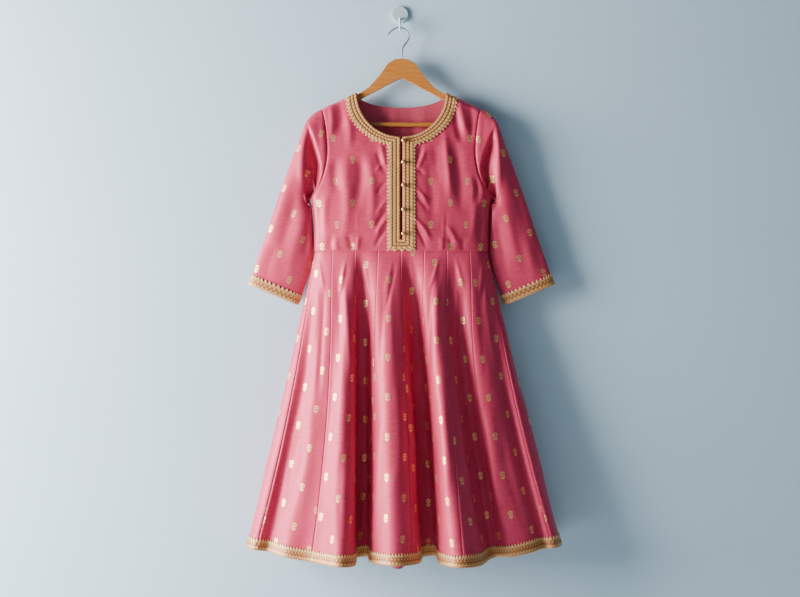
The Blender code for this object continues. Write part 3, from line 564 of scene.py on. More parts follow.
@dataclass(frozen=True)
class VarnishedBeech:
    """Steamed beech under clear varnish: fine grain along the arm, a soft wet gloss."""

    dark: str = "#A9601F"
    light: str = "#CC8234"
    grain: float = 0.0035

    def material(self) -> Material:
        """Builds the wood's material, with its grain along x."""
        material, tree, shader = new_material("varnished beech")
        place = add_node(tree, "TexCoord").outputs["Object"]
        fine = 1 / self.grain
        scaled = add_node(tree, "Mapping", {"Vector": place, "Scale": (fine / 16, fine, fine)})
        noise = add_node(tree, "TexNoise", {
            "Vector": scaled, "Scale": 1.0, "Detail": 4.0, "Distortion": 0.6})
        tone = add_node(tree, "MapRange", {"Value": noise, "From Min": 0.2, "From Max": 0.7})
        colour = add_node(tree, "Mix", {
            0: tone, 6: linear(self.dark), 7: linear(self.light)}, data_type="RGBA").outputs[2]
        set_inputs(tree, shader, {
            "Base Color": colour, "Roughness": 0.38, "Coat Weight": 0.35, "Coat Roughness": 0.2,
            "Normal": add_node(tree, "Bump", {"Strength": 0.12, "Distance": 0.0003, "Height": noise}),
        })
        return material


@dataclass(frozen=True)
class DrawnMetal:
    """Metal with fine marks from drawing or turning, which break its reflections a little."""

    name: str
    colour: str
    worn: str
    roughness: float
    metallic: float = 1.0

    def material(self) -> Material:
        """Builds the metal's material."""
        material, tree, shader = new_material(self.name)
        place = add_node(tree, "TexCoord").outputs["Object"]
        noise = add_node(tree, "TexNoise", {"Vector": place, "Scale": 240.0, "Detail": 3.0})
        colour = add_node(tree, "Mix", {
            0: noise, 6: linear(self.colour), 7: linear(self.worn)}, data_type="RGBA").outputs[2]
        rough = add_node(tree, "MapRange", {
            "Value": noise, "To Min": self.roughness * 0.8, "To Max": self.roughness * 1.25})
        set_inputs(tree, shader, {"Base Color": colour, "Roughness": rough, "Metallic": self.metallic})
        return material


@dataclass(frozen=True)
class PaintedPlaster:
    """Matt emulsion on a plastered wall, with faint trowel clouds; clear from behind."""

    name: str
    light: str
    dark: str

    def material(self) -> Material:
        """Builds the wall's material, which is seen from its front only."""
        material, tree, shader = new_material(self.name)
        place = add_node(tree, "TexCoord").outputs["Object"]
        clouds = add_node(tree, "TexNoise", {"Vector": place, "Scale": 2.4, "Detail": 5.0})
        colour = add_node(tree, "Mix", {
            0: clouds, 6: linear(self.dark), 7: linear(self.light)}, data_type="RGBA").outputs[2]
        set_inputs(tree, shader, {
            "Base Color": colour, "Roughness": 0.85,
            "Normal": add_node(tree, "Bump", {"Strength": 0.06, "Distance": 0.002, "Height": clouds}),
        })
        behind = add_node(tree, "NewGeometry").outputs["Backfacing"]
        both = add_node(tree, "MixShader", (behind, shader, add_node(tree, "BsdfTransparent")))
        tree.links.new(both.outputs[0], tree.nodes["Material Output"].inputs["Surface"])
        return material


# Shape functions


def smooth_line(points: Array, steps: int, closed: bool = False) -> Array:
    """A centripetal Catmull-Rom line.

    Args:
        points: The places it goes through, one for each row.
        steps: How many points each span gets.
        closed: Whether it comes back to its first point.

    Returns:
        The line's points, with both ends.
    """
    points = np.asarray(points, float)
    if closed:
        padded = np.concatenate([points[-1:], points, points[:2]])
    else:
        padded = np.concatenate([[2 * points[0] - points[1]], points, [2 * points[-1] - points[-2]]])
    p0, p1, p2, p3 = padded[:-3], padded[1:-2], padded[2:-1], padded[3:]
    d1, d2, d3 = (
        np.sqrt(np.linalg.norm(after - before, axis=1))[:, None] + 1e-9
        for before, after in ((p0, p1), (p1, p2), (p2, p3))
    )
    start = d2 * ((p1 - p0) / d1 - (p2 - p0) / (d1 + d2) + (p2 - p1) / d2)
    end = d2 * ((p2 - p1) / d2 - (p3 - p1) / (d2 + d3) + (p3 - p2) / d3)
    s = (np.arange(steps) / steps)[None, :, None]
    line = (
        (2 * s**3 - 3 * s**2 + 1) * p1[:, None] + (s**3 - 2 * s**2 + s) * start[:, None]
        + (3 * s**2 - 2 * s**3) * p2[:, None] + (s**3 - s**2) * end[:, None]
    ).reshape(-1, points.shape[1])
    return np.concatenate([line, points[:1] if closed else points[-1:]])


def lengths(line: Array) -> Array:
    """How far along a line each of its points is."""
    return np.concatenate([[0], np.cumsum(np.linalg.norm(np.diff(line, axis=0), axis=1))])


def along(line: Array, fractions: Array) -> Array:
    """The points at these fractions of a line's length."""
    length = lengths(line)
    return np.stack([np.interp(fractions * length[-1], length, part) for part in line.T], axis=1)


def column(rows: tuple, name: str) -> Array:
    """One column of a table, in metres."""
    return np.array([getattr(row, name) for row in rows]) * MM


def bell(distance: Array, width: float) -> Array:
    """A smooth hump, 1 where the distance is 0 and 0.37 at the width."""
    return np.exp(-((distance / width) ** 2))


def crease_field(x: Array, z: Array, creases: tuple) -> Array:
    """The height that the creases give each place.

    Args:
        x: Places across, in metres.
        z: Places up, in metres.
        creases: The creases, with their sizes in mm.

    Returns:
        Heights in metres, outwards positive.
    """
    height = np.zeros(np.broadcast(x, z).shape)
    for crease in creases:
        path = smooth_line(np.array(crease.path, float) * MM, 5)
        near = np.full(height.shape, 1e9)
        spot = np.zeros(height.shape)
        width = np.full(height.shape, crease.width * MM)
        reach = lengths(path)
        for (ax, az), (bx, bz), before, after in zip(path, path[1:], reach, reach[1:]):
            run = (bx - ax) ** 2 + (bz - az) ** 2
            t = np.clip(((x - ax) * (bx - ax) + (z - az) * (bz - az)) / run, 0, 1)
            gap = (x - ax - t * (bx - ax)) ** 2 + (z - az - t * (bz - az)) ** 2
            closer = gap < near
            near = np.where(closer, gap, near)
            spot = np.where(closer, before + t * (after - before), spot)
            if crease.inner:
                within = np.abs(x) < np.abs(ax + t * (bx - ax))
                width = np.where(closer, np.where(within, crease.inner, crease.width) * MM, width)
        ends = np.interp(spot / reach[-1], (0, 0.35, 0.65, 1), (crease.start, 1, 1, crease.end))
        height += crease.height * MM * ends * ends * (3 - 2 * ends) * np.exp(-near / width**2)
    return height


def ripple(u: Array, v: Array, seed: float) -> Array:
    """Slight unevenness of hung cloth, from a few long waves; about 1 high."""
    return (
        np.sin(u * 61 + v * 17 + seed * 1.7) * np.sin(v * 23 - u * 9 + seed * 2.3)
        + 0.5 * np.sin(u * 137 - v * 31 + seed * 3.1) * np.sin(v * 47 + seed)
    ) / 1.5


def body_y(x: Array, z: Array, facing: Facing) -> Array:
    """y of the bodice's outer face.

    Args:
        x: Places across, from the gown's centre line.
        z: Places up.
        facing: The front or the back.

    Returns:
        y, which comes round to the hanger's middle over the shoulder.
    """
    order = np.argsort(column(BODY_ROWS, "z"))
    width, side, face = (
        np.interp(z, column(BODY_ROWS, "z")[order], column(BODY_ROWS, name)[order])
        for name in ("half_width", "side", facing.value)
    )
    roundness = 2.6
    reach = np.clip(1 - np.abs(x / width) ** roundness, 0, 1) ** (1 / roundness)
    y = side + (face - side) * reach
    slope = (TIP_Z - NECK_Z) / (TIP_X - NECK_X)
    shoulder = NECK_Z + slope * (np.abs(x) - NECK_X)
    below = np.clip((shoulder - z) / 0.014, 0, 1)
    over_arm = np.sqrt(1 - (1 - below) ** 2)
    middle = HANGER_Y + (-SEAM_GAP / 2 if facing is Facing.FRONT else SEAM_GAP / 2)
    return middle + (y - middle) * over_arm


def body_normal(x: Array, z: Array, facing: Facing, mirror: Array | int) -> Array:
    """Outward unit normals of the bodice.

    Args:
        x: Distances from the gown's centre line.
        z: Places up.
        facing: The front or the back.
        mirror: -1 or 1, the side of the centre line.

    Returns:
        A normal for each place.
    """
    step = 0.0008
    inner_x = np.maximum(np.abs(x) - step, 0)
    here = body_y(x, z, facing)
    by_x = (here - body_y(inner_x, z, facing)) / np.maximum(np.abs(x) - inner_x, 1e-9)
    by_z = (here - body_y(x, z - step, facing)) / step
    outward = -1.0 if facing is Facing.FRONT else 1.0
    normal = np.stack([-outward * by_x * mirror, np.full_like(here, outward), -outward * by_z], -1)
    return normal / np.linalg.norm(normal, axis=-1, keepdims=True)


def edge_line(steps: int, first: int, last: int | None = None) -> Array:
    """The (z, x) line through some of the side edge's points, which has its underarm at 3."""
    return smooth_line(np.array(SIDE_EDGE[first:last]) * MM, steps)


def side_x(z: Array) -> Array:
    """Distance from the centre line to a bodice panel's outer edge."""
    line = np.concatenate([edge_line(8, 0, 4), edge_line(8, 3)[1:]])
    return np.interp(z, line[:, 0], line[:, 1])


def grid_normals(grid: Array) -> Array:
    """Unit normals, towards the viewer, of a closed grid with rows up and columns to the right."""
    ring = np.concatenate([grid[:, -2:-1], grid, grid[:, 1:2]], axis=1)
    normal = np.cross(np.gradient(ring, axis=1)[:, 1:-1], np.gradient(grid, axis=0))
    return normal / (np.linalg.norm(normal, axis=2, keepdims=True) + 1e-12)


def new_object(name: str, mesh: bmesh.types.BMesh, materials: list) -> Object:
    """Turns a mesh into a smooth-shaded object at the origin.

    Args:
        name: The object's name.
        mesh: The mesh, which is freed.
        materials: The object's materials, in order.

    Returns:
        The object.
    """
    for face in mesh.faces:
        face.smooth = True
    data = bpy.data.meshes.new(name)
    mesh.to_mesh(data)
    mesh.free()
    for material in materials:
        data.materials.append(material)
    made = bpy.data.objects.new(name, data)
    bpy.context.scene.collection.objects.link(made)
    return made


def put_in_frame(piece: Object, solid: str) -> None:
    """Makes a piece ride the frame's one body, in place of its solid."""
    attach(piece, "root")
    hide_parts(solid)
    log.info("%s: %d faces", piece.name, len(piece.data.polygons))


@dataclass
class Sheet:
    """A cloth or lace piece, made from grids of points, with its outer and inner material."""

    name: str
    materials: list
    thickness: float = SHELL

    def __post_init__(self) -> None:
        """Starts the empty mesh and what its points hold."""
        self.mesh = bmesh.new()
        self.layers = [self.mesh.verts.layers.float.new(part) for part in ("cut_u", "cut_v", "tone")]

    def add_grid(self, points: Array, cut: Array, tone: Array | None = None) -> None:
        """Adds a patch.

        Args:
            points: Rows of points upwards, columns to the right as seen from outside.
            cut: The place of each on the flat cut, in metres.
            tone: How bright each point's thread is on lace, painted shade of its plaits included.
        """
        rows, columns = points.shape[:2]
        made = bmesh.ops.create_grid(
            self.mesh, x_segments=columns - 1, y_segments=rows - 1, size=1)["verts"]
        tones = np.ones((rows, columns)) if tone is None else tone
        held = np.concatenate([cut, tones[..., None]], axis=2).reshape(-1, 3).tolist()
        for vert, place, values in zip(made, points.reshape(-1, 3).tolist(), held):
            vert.co = place
            for layer, value in zip(self.layers, values):
                vert[layer] = value

    def finish(self, slot: str, solid: str) -> Object:
        """Welds the patches, gives the wall its thickness and puts the piece in the frame.

        Args:
            slot: Not used.
            solid: The solid that this piece stands for.

        Returns:
            The finished object.
        """
        bmesh.ops.remove_doubles(self.mesh, verts=self.mesh.verts[:], dist=4e-6)
        layer = self.mesh.loops.layers.uv.new("cut")
        u, v = self.layers[:2]
        for face in self.mesh.faces:
            for loop in face.loops:
                loop[layer].uv = (loop.vert[u], loop.vert[v])
        piece = new_object(self.name, self.mesh, self.materials)
        wall = piece.modifiers.new("cloth thickness", "SOLIDIFY")
        wall.thickness = self.thickness
        wall.offset = -1
        wall.use_even_offset = False
        wall.material_offset = len(self.materials) - 1
        put_in_frame(piece, solid)
        return piece


@dataclass
class Bodice:
    """The front with its slit, and the back, on the shoulders of the hanger."""

    silk: Material
    lining: Material
    step: float = 0.003
    back_step: float = 0.0051
    width: float = 0.215
    back_neck_drop: float = 0.0346
    slit_x: float = 0.003
    slit_foot: float = -0.555
    ease: float = 1.6
    uneven: float = 0.0005

    def height(self, x: Array, z: Array, facing: Facing) -> Array:
        """How far the cloth stands out from its plain form at these places."""
        if facing is Facing.BACK:
            return crease_field(x, z, BACK_CREASES) + self.uneven * ripple(x, z, 2.0)
        soft = crease_field(x, z, BODICE_CREASES) * self.ease
        return soft + crease_field(x, z, DARTS) + self.uneven * ripple(x, z, 0.6)

    def half(self, facing: Facing, mirror: int) -> tuple:
        """One half of a panel.

        Args:
            facing: The front or the back.
            mirror: -1 or 1, the side of the centre line.

        Returns:
            Its points, and their places on the cut.
        """
        front = facing is Facing.FRONT
        table, step = (FRONT_ROWS, self.step) if front else (BACK_ROWS, self.back_step)
        side, centre = column(table, "side"), column(table, "centre")
        rows = [0.0]
        for number in range(len(table) - 1):
            gap = max(abs(side[number + 1] - side[number]), abs(centre[number + 1] - centre[number]))
            count = max(1, round(gap / step))
            rows.extend(number + (np.arange(count) + 1) / count)
        z_side, z_centre = (np.interp(rows, np.arange(len(table)), part) for part in (side, centre))
        x_side = side_x(z_side)[:, None] - SEAM_GAP / 2
        down = np.clip((NECK_Z - z_centre) / (FRONT_NECK_DROP if front else self.back_neck_drop), 0, 1)
        x_neck = NECK_X * np.sqrt(1 - down**2)
        if front:
            x_neck = np.where(z_centre > self.slit_foot, np.maximum(x_neck, self.slit_x), 0)
        # Close columns towards the centre edge, where the lace and the slit are
        share = (np.sin(np.linspace(0, math.pi / 2, round(self.width / step))) ** 0.9)[None, :]
        x = x_side * (1 - share) + x_neck[:, None] * share
        z = z_side[:, None] * (1 - share) + z_centre[:, None] * share
        inset = x_side - x
        # The armhole's seam sinks deeper than the side's, with a stitched ridge beside it
        sunk = np.where(z_side[:, None] > -0.4535, 0.0009, 0.00027) * bell(inset, 0.0022)
        stitched = 0.0002 * bell(inset - 0.0055, 0.003)
        fade = np.clip(inset / 0.012, 0, 1) * np.clip((z - WAIST_Z) / 0.004, 0.15, 1)
        lift = self.height(mirror * x, z, facing) * fade - sunk + stitched
        normal = body_normal(x, z, facing, mirror)
        points = np.stack([GOWN_X + mirror * x, body_y(x, z, facing), z], 2) + normal * lift[..., None]
        # What the dart takes out of the cloth beside it shifts the pattern there
        taken = np.clip((x - 0.118) / 0.046, 0, 1.3) * np.clip(-0.31 - z, 0, 1) * 0.0635
        return points, np.stack([x + taken, z], 2)

    def build(self) -> None:
        """Makes both panels."""
        for facing in Facing:
            name = f"bodice_{facing.value}"
            sheet = Sheet(f"{name}_silk", [self.silk, self.lining])
            for mirror in (-1, 1):
                turned = -1 if (mirror == -1) != (facing is Facing.FRONT) else 1
                sheet.add_grid(*(part[:, ::turned] for part in self.half(facing, mirror)))
            piece = sheet.finish("silk_pink", name)


@dataclass
class Sleeve:
    """One set-in sleeve, three-quarter length.

    fades are the shares of its length over which x, y and z leave the armhole's line; grain is the
    weft's direction on the flat cut.
    """

    side: Side
    silk: Material
    lining: Material
    columns: int = 150
    rows: int = 130
    cuff_start: float = 0.9
    grain: tuple = (0.323, 0.946)
    fades: tuple = (0.12, 0.34, 0.34)
    pinch: float = 0.0022
    turning: float = 2.2
    ease: float = 1.25
    back_ease: float = 0.5
    uneven: float = 0.0006
    seam_depth: float = 0.0008

    def loop(self, around: Array) -> Array:
        """Points of the armhole.

        Args:
            around: Places round it, 0 at the shoulder tip and going down the front.

        Returns:
            A point for each place.
        """
        armhole = edge_line(10, 3)[::-1]
        down = np.where(around <= 0.5, around, 1 - around) * 2
        line = along(armhole, down)
        run = along(armhole, down + 0.01) - along(armhole, down - 0.01)
        run /= np.linalg.norm(run, axis=1, keepdims=True)
        z, x = line[:, 0] + run[:, 1] * SEAM_GAP * 2, line[:, 1] - run[:, 0] * SEAM_GAP * 2
        front, back = (
            np.stack([GOWN_X + self.side.value * x, body_y(x, z, facing), z], 1) for facing in Facing)
        place = np.where((around <= 0.5)[:, None], front, back)
        for shared in (0.0, 0.5, 1.0):
            at = np.abs(around - shared) < 1e-6
            place[at, 1] = (front[at, 1] + back[at, 1]) / 2
        return place

    def rings(self, around: Array, levels: Array) -> Array:
        """Plain points of the sleeve.

        Args:
            around: Places round it.
            levels: Places down it, from armhole (0) to hem (1).

        Returns:
            The points, with a ring for each level.
        """
        line = smooth_line(np.array(SLEEVE_ROWS) * MM, 6)
        turn = 2 * math.pi * around[None, :]
        share = (1 - np.cos(turn)) / 2
        swell = np.sign(np.sin(turn)) * np.abs(np.sin(turn)) ** 0.8

        def plain(wanted: Array) -> Array:
            """The rings before they are brought to the armhole."""
            outer_x, outer_z, inner_x, inner_z, mid_y, depth = (
                np.interp(wanted, np.linspace(0, 1, len(line)), part)[:, None] for part in line.T
            )
            near = self.pinch * np.interp(wanted, (0.2, 0.35, 0.65, 0.8), (0, 1, 1, 0))[:, None]
            x = outer_x * (1 - share) + (inner_x - near) * share
            z = outer_z * (1 - share) + inner_z * share
            return np.stack([GOWN_X + self.side.value * x, mid_y - depth / 2 * swell, z], axis=2)

        fade = np.clip(1 - levels[:, None, None] / np.array(self.fades), 0, 1) ** 2
        return plain(levels) + (self.loop(around)[None] - plain(np.zeros(1))) * fade

    def surface(self, around: Array, levels: Array) -> tuple:
        """The sleeve with its creases.

        Args:
            around: Places round it.
            levels: Places down it.

        Returns:
            Its points, rows upwards, and their places on the cut.
        """
        grid = self.rings(around, levels)[::-1, ::-self.side.value]
        turn = np.sin(2 * math.pi * around[::-self.side.value])[None, :]
        level = levels[::-1][:, None]
        x, z = grid[..., 0] - GOWN_X, grid[..., 2]
        other = Side.RIGHT if self.side is Side.LEFT else Side.LEFT
        front = crease_field(x, z, SLEEVE_CREASES[self.side]) * self.ease
        back = crease_field(-x, z, SLEEVE_CREASES[other]) * self.back_ease
        height = front * np.clip(turn * self.turning, 0, 1) + back * np.clip(-turn * self.turning, 0, 1)
        height += self.uneven * ripple(x, z, 4.0 + self.side.value)
        height *= np.clip(level / 0.06, 0, 1) * np.clip(1.15 - level, 0.2, 1)
        height -= self.seam_depth * bell(level, 0.004)
        weft_x, weft_z = self.grain
        cut = np.stack([abs(x) * weft_z + z * weft_x, z * weft_z - abs(x) * weft_x], 2)
        return grid + grid_normals(grid) * height[..., None], cut

    def build(self) -> None:
        """Makes the sleeve."""
        name = f"sleeve_{self.side.name.lower()}"
        sheet = Sheet(f"{name}_silk", [self.silk, self.lining])
        around = np.linspace(0, 1, self.columns + 1)
        sheet.add_grid(*self.surface(around, np.linspace(0, 1, self.rows + 1) ** 0.92))
        piece = sheet.finish("silk_pink", name)


@dataclass
class Skirt:
    """Sixteen flared panels, hung in deep folds from the waist."""

    silks: dict
    lining: Material
    length: float = 0.730
    top_width: float = 0.053
    foot_width: float = 0.150
    softness: float = 0.006
    ring_steps: int = 2400
    reach: int = 75
    tuck: float = 0.0022
    uneven: float = 0.0005
    pucker: float = 0.00035
    seam_depth: float = 0.0004
    waist_depth: float = 0.0008
    turning_height: float = 0.00008

    def __post_init__(self) -> None:
        """Works out the fold lines once."""
        rings = []
        for facing, folds in ((Facing.FRONT, FRONT_FOLDS), (Facing.BACK, BACK_FOLDS)):
            x = column(folds, "x_waist")
            z = np.full_like(x, WAIST_Z)
            top = np.stack([x, body_y(x - GOWN_X, z, facing), z], axis=1)
            half, foot = (
                np.stack([column(folds, f"x_{part}"), column(folds, f"y_{part}")], axis=1)
                for part in ("middle", "hem"))
            spread = ((foot - top[:, :2]) ** 2).sum(axis=1)
            foot_z = WAIST_Z - np.sqrt(self.length**2 - spread) - column(folds, "drop")
            rings.append((top, np.column_stack([half, (z + foot_z) / 2]), np.column_stack([foot, foot_z])))
        self.lines = tuple(np.concatenate(part) for part in zip(*rings))

    def ring(self, level: float) -> tuple:
        """The closed line round the skirt at a level.

        Args:
            level: 0 at the waist and 1 at the hem.

        Returns:
            The line's points, and its right seam's share of the way along it.
        """
        waist, middle, hem = self.lines
        shares = ((1 - level) * (1 - 2 * level), 4 * level * (1 - level), level * (2 * level - 1))
        line = smooth_line(waist * shares[0] + middle * shares[1] + hem * shares[2], 12, closed=True)
        length = lengths(line)
        even = along(line, np.arange(self.ring_steps) / self.ring_steps)
        spacing = length[-1] / self.ring_steps
        weights = bell(np.arange(-self.reach, self.reach + 1) * spacing, self.softness * math.sqrt(2))
        padded = np.concatenate([even[-self.reach:], even, even[:self.reach]])
        soft = np.stack([np.convolve(part, weights / weights.sum(), "valid") for part in padded.T], 1)
        return soft, length[(len(FRONT_FOLDS) - 1) * 12] / length[-1]

    def points(self, places: Array, levels: Array) -> Array:
        """Plain points of the skirt.

        Args:
            places: Places round it, from 0 to 1 over the front and from 1 to 2 over the back.
            levels: Places down it.

        Returns:
            The points, with a row for each level.
        """
        rows = []
        wrapped = np.mod(places, 2)
        for level in levels:
            ring, seam = self.ring(level)
            share = np.where(wrapped <= 1, wrapped * seam, seam + (wrapped - 1) * (1 - seam))
            rows.append(along(np.concatenate([ring, ring[:1]]), share))
        return np.stack(rows)

    def creases(self, number: int) -> tuple:
        """A panel's creases: mirrored on every second panel, and no two panels' quite the same."""
        varied = []
        for k, crease in enumerate(KALI_CREASES[Facing.FRONT if number < PANELS else Facing.BACK]):
            wider = (1 if number % 2 else -1) * (1 + 0.12 * math.sin(number * 2.1 + k))
            longer = 1 + 0.1 * math.sin(number + k * 1.9)
            deeper = 1.2 + 0.7 * math.sin(number * 1.3 + k * 2.2)
            path = tuple((wider * x, longer * z) for x, z in crease.path)
            varied.append(crease._replace(path=path, height=crease.height * deeper))
        return tuple(varied)

    def surface(self, places: Array, levels: Array) -> tuple:
        """The skirt with its creases, over some or all of its panels.

        Args:
            places: Places round it, as for points.
            levels: Places down it, 0 at the waist and 1 at the hem.

        Returns:
            Plain points, their outward normals, their heights and their places on the cut.
        """
        step = 0.002
        grid = self.points(places, levels)
        sideways = self.points(places + step, levels) - self.points(places - step, levels)
        upwards = self.points(places, levels - step) - self.points(places, levels + step)
        normal = np.cross(sideways, upwards)
        normal /= np.linalg.norm(normal, axis=2, keepdims=True)
        panel = np.floor(places * PANELS + 1e-9)
        within = (places * PANELS - panel)[None, :]
        width = self.top_width + (self.foot_width - self.top_width) * levels[:, None]
        u = (within - 0.5) * width
        v = -levels[:, None] * self.length + 0 * u
        height = np.zeros_like(u)
        for number in np.unique(panel):
            at = panel == number
            height[:, at] = crease_field(u[:, at], v[:, at], self.creases(number))
            height[:, at] += self.uneven * ripple(u[:, at], v[:, at], number)
        # Beside each seam: small puckers, the sunk line itself and the turnings pressed to its left
        left = within * width
        near = np.minimum(left, (1 - within) * width)
        pucker = np.sin(v * 330 + np.sin(v * 41) * 2) * (0.5 + 0.5 * np.sin(v * 29))
        height += self.pucker * pucker * bell(near, 0.008)
        height *= np.clip(near / 0.010, 0, 1)
        height -= self.seam_depth * bell(near, 0.0014) + self.waist_depth * bell(v, 0.0016)
        height += self.turning_height * bell(left - 0.0030, 0.0016)
        return grid, normal, height, np.stack([u, v], 2)

    def build(self) -> None:
        """Makes the panels, each with its top edge tucked into the waist seam."""
        for facing, offset, columns, rows in ((Facing.FRONT, 0, 40, 150), (Facing.BACK, 1, 26, 100)):
            for number in range(PANELS):
                first, last = offset + number / PANELS, offset + (number + 1) / PANELS
                places = offset + (number + np.linspace(0, 1, columns + 1)) / PANELS
                grid, normal, height, cut = self.surface(
                    np.clip(places, first + 1e-6, last - 1e-6), np.linspace(1, 0, rows + 1))
                points = grid + normal * height[..., None]
                tucked = points[-1:] + np.array([0, 0, self.tuck]) - 0.0007 * normal[-1:]
                cut_top = cut[-1:] + np.array([0, self.tuck])
                name = f"kali_{facing.value}_{number + 1}"
                sheet = Sheet(f"{name}_silk", [self.silks[facing, number], self.lining])
                sheet.add_grid(np.concatenate([points, tucked]), np.concatenate([cut, cut_top]))
                piece = sheet.finish("silk_pink", name)


def triangle(u: Array, pitch: float) -> Array:
    """A triangular wave from 0 to 1 and back in each pitch."""
    return 1 - np.abs(2 * np.mod(u / pitch, 1) - 1)


def wave(u: Array, pitch: float) -> Array:
    """A smooth wave from 1 to 0 and back in each pitch."""
    return 0.5 + 0.5 * np.cos(2 * math.pi * u / pitch)


def band(v: Array, low: float, high: float) -> Array:
    """A soft hump between two places, 0 at them and 1 midway; 0 outside."""
    return np.sqrt(np.clip(1 - ((v - (low + high) / 2) / ((high - low) / 2)) ** 2, 0, 1))


class Plait(NamedTuple):
    """One plait of the neck lace: its edges, its stitches' pitch and lean, how deep its painted stitch
    shade goes.
    """

    low: float
    high: float
    pitch: float
    lean: float
    depth: float


@dataclass
class PlaitedLace:
    """The neck lace: three plaits side by side, picots outside. Sizes in mm across from outside.

    Its stitches are drawn about half as coarse again as real ones, so that they show.
    """

    width: float = 28.5
    picot: float = 5.2
    scallop: float = 8.8
    plaits: tuple = (
        Plait(2.6, 10.4, 8.8, 0.2, 0.5), Plait(12.0, 19.2, 7.6, 0.42, 0.6),
        Plait(20.8, 27.8, 8.2, 0.15, 0.42),
    )

    def weave(self, u: Array, v: Array) -> tuple:
        """The relief, and the tone of the thread with painted shading of its plaits and stitches.

        Args:
            u: Places along the lace, in mm.
            v: Places across from its outer edge, in mm.

        Returns:
            Heights in metres, and tones from 0 to 1.
        """
        height = np.zeros_like(u)
        tone = np.full_like(u, 0.16)
        for plait in self.plaits:
            hump = band(v, plait.low, plait.high)
            stitch = wave(u + (v - (plait.low + plait.high) / 2) * plait.lean, plait.pitch)
            height += 0.0012 * hump * (0.55 + 0.45 * stitch)
            # Painted shading: each plait's tone is brightest at its crest and on its stitches, darker down
            # its sides and in the stitch troughs
            lit = 0.12 + 0.86 * hump * (1 - plait.depth + plait.depth * stitch)
            tone = np.where(hump > 0.05, lit, tone)
        tone = np.maximum(tone, np.where(v < self.plaits[0].low, 0.8, 0.0))
        return height, np.where(v > self.plaits[-1].high, 0.45, tone)

    def scalloped(self, u: Array, v: Array) -> Array:
        """How far outwards the picots reach at these places, in mm."""
        return self.picot * (triangle(u, self.scallop) * 1.2 - 0.35) * np.clip(1 - v / 4.2, 0, 1)


@dataclass
class ToothedLace:
    """The hem and cuff lace: teeth on top, cords and two rows of dots. Sizes in mm from the teeth."""

    width: float
    tooth: float = 8.6
    pitch: float = 7.6
    edge: float = 2.6

    def weave(self, u: Array, v: Array) -> tuple:
        """The relief, and the tone of the thread with painted shading on its cords, as on the plaited lace.
        """
        last = self.width
        height = 0.0004 * band(v, 0, self.tooth)
        tone = np.full_like(u, 0.2)
        for across, start in ((self.tooth + 5.4, 0.0), (last - 8.2, 4.0)):
            dot = bell(np.mod(u + start, 8.0) - 4.0, 2.3) * bell(v - across, 2.1)
            tone += 0.72 * dot
            height += 0.0008 * dot
        for low, high in ((self.tooth, self.tooth + 2.8), (last - 6.0, last - 3.4)):
            hump = band(v, low, high)
            height += 0.0009 * hump
            # Painted shading: each cord is brightest along its crest and on its stitches, darker down its
            # sides
            tone = np.where(hump > 0.1, 0.60 + 0.38 * hump * wave(u + v, 6.4), tone)
        rims = bell(v - self.tooth, 0.7) + bell(v - last + 3.1, 0.5)
        tone = np.where(v < self.tooth, 0.92, tone) - 0.5 * rims
        return height, np.clip(np.where(v > last - self.edge, 0.80, tone), 0, 1)

    def toothed(self, u: Array, v: Array) -> Array:
        """The places across once the teeth and the lower picots are cut, in mm."""
        tooth = np.clip(1.25 * triangle(u, self.pitch) - 0.1, 0.04, 1)
        cut = np.where(v < self.tooth, self.tooth - (self.tooth - v) * tooth, v)
        low = np.clip((v - (self.width - self.edge)) / self.edge, 0, 1)
        return cut - low * 2.0 * (1 - triangle(u, 6.4))


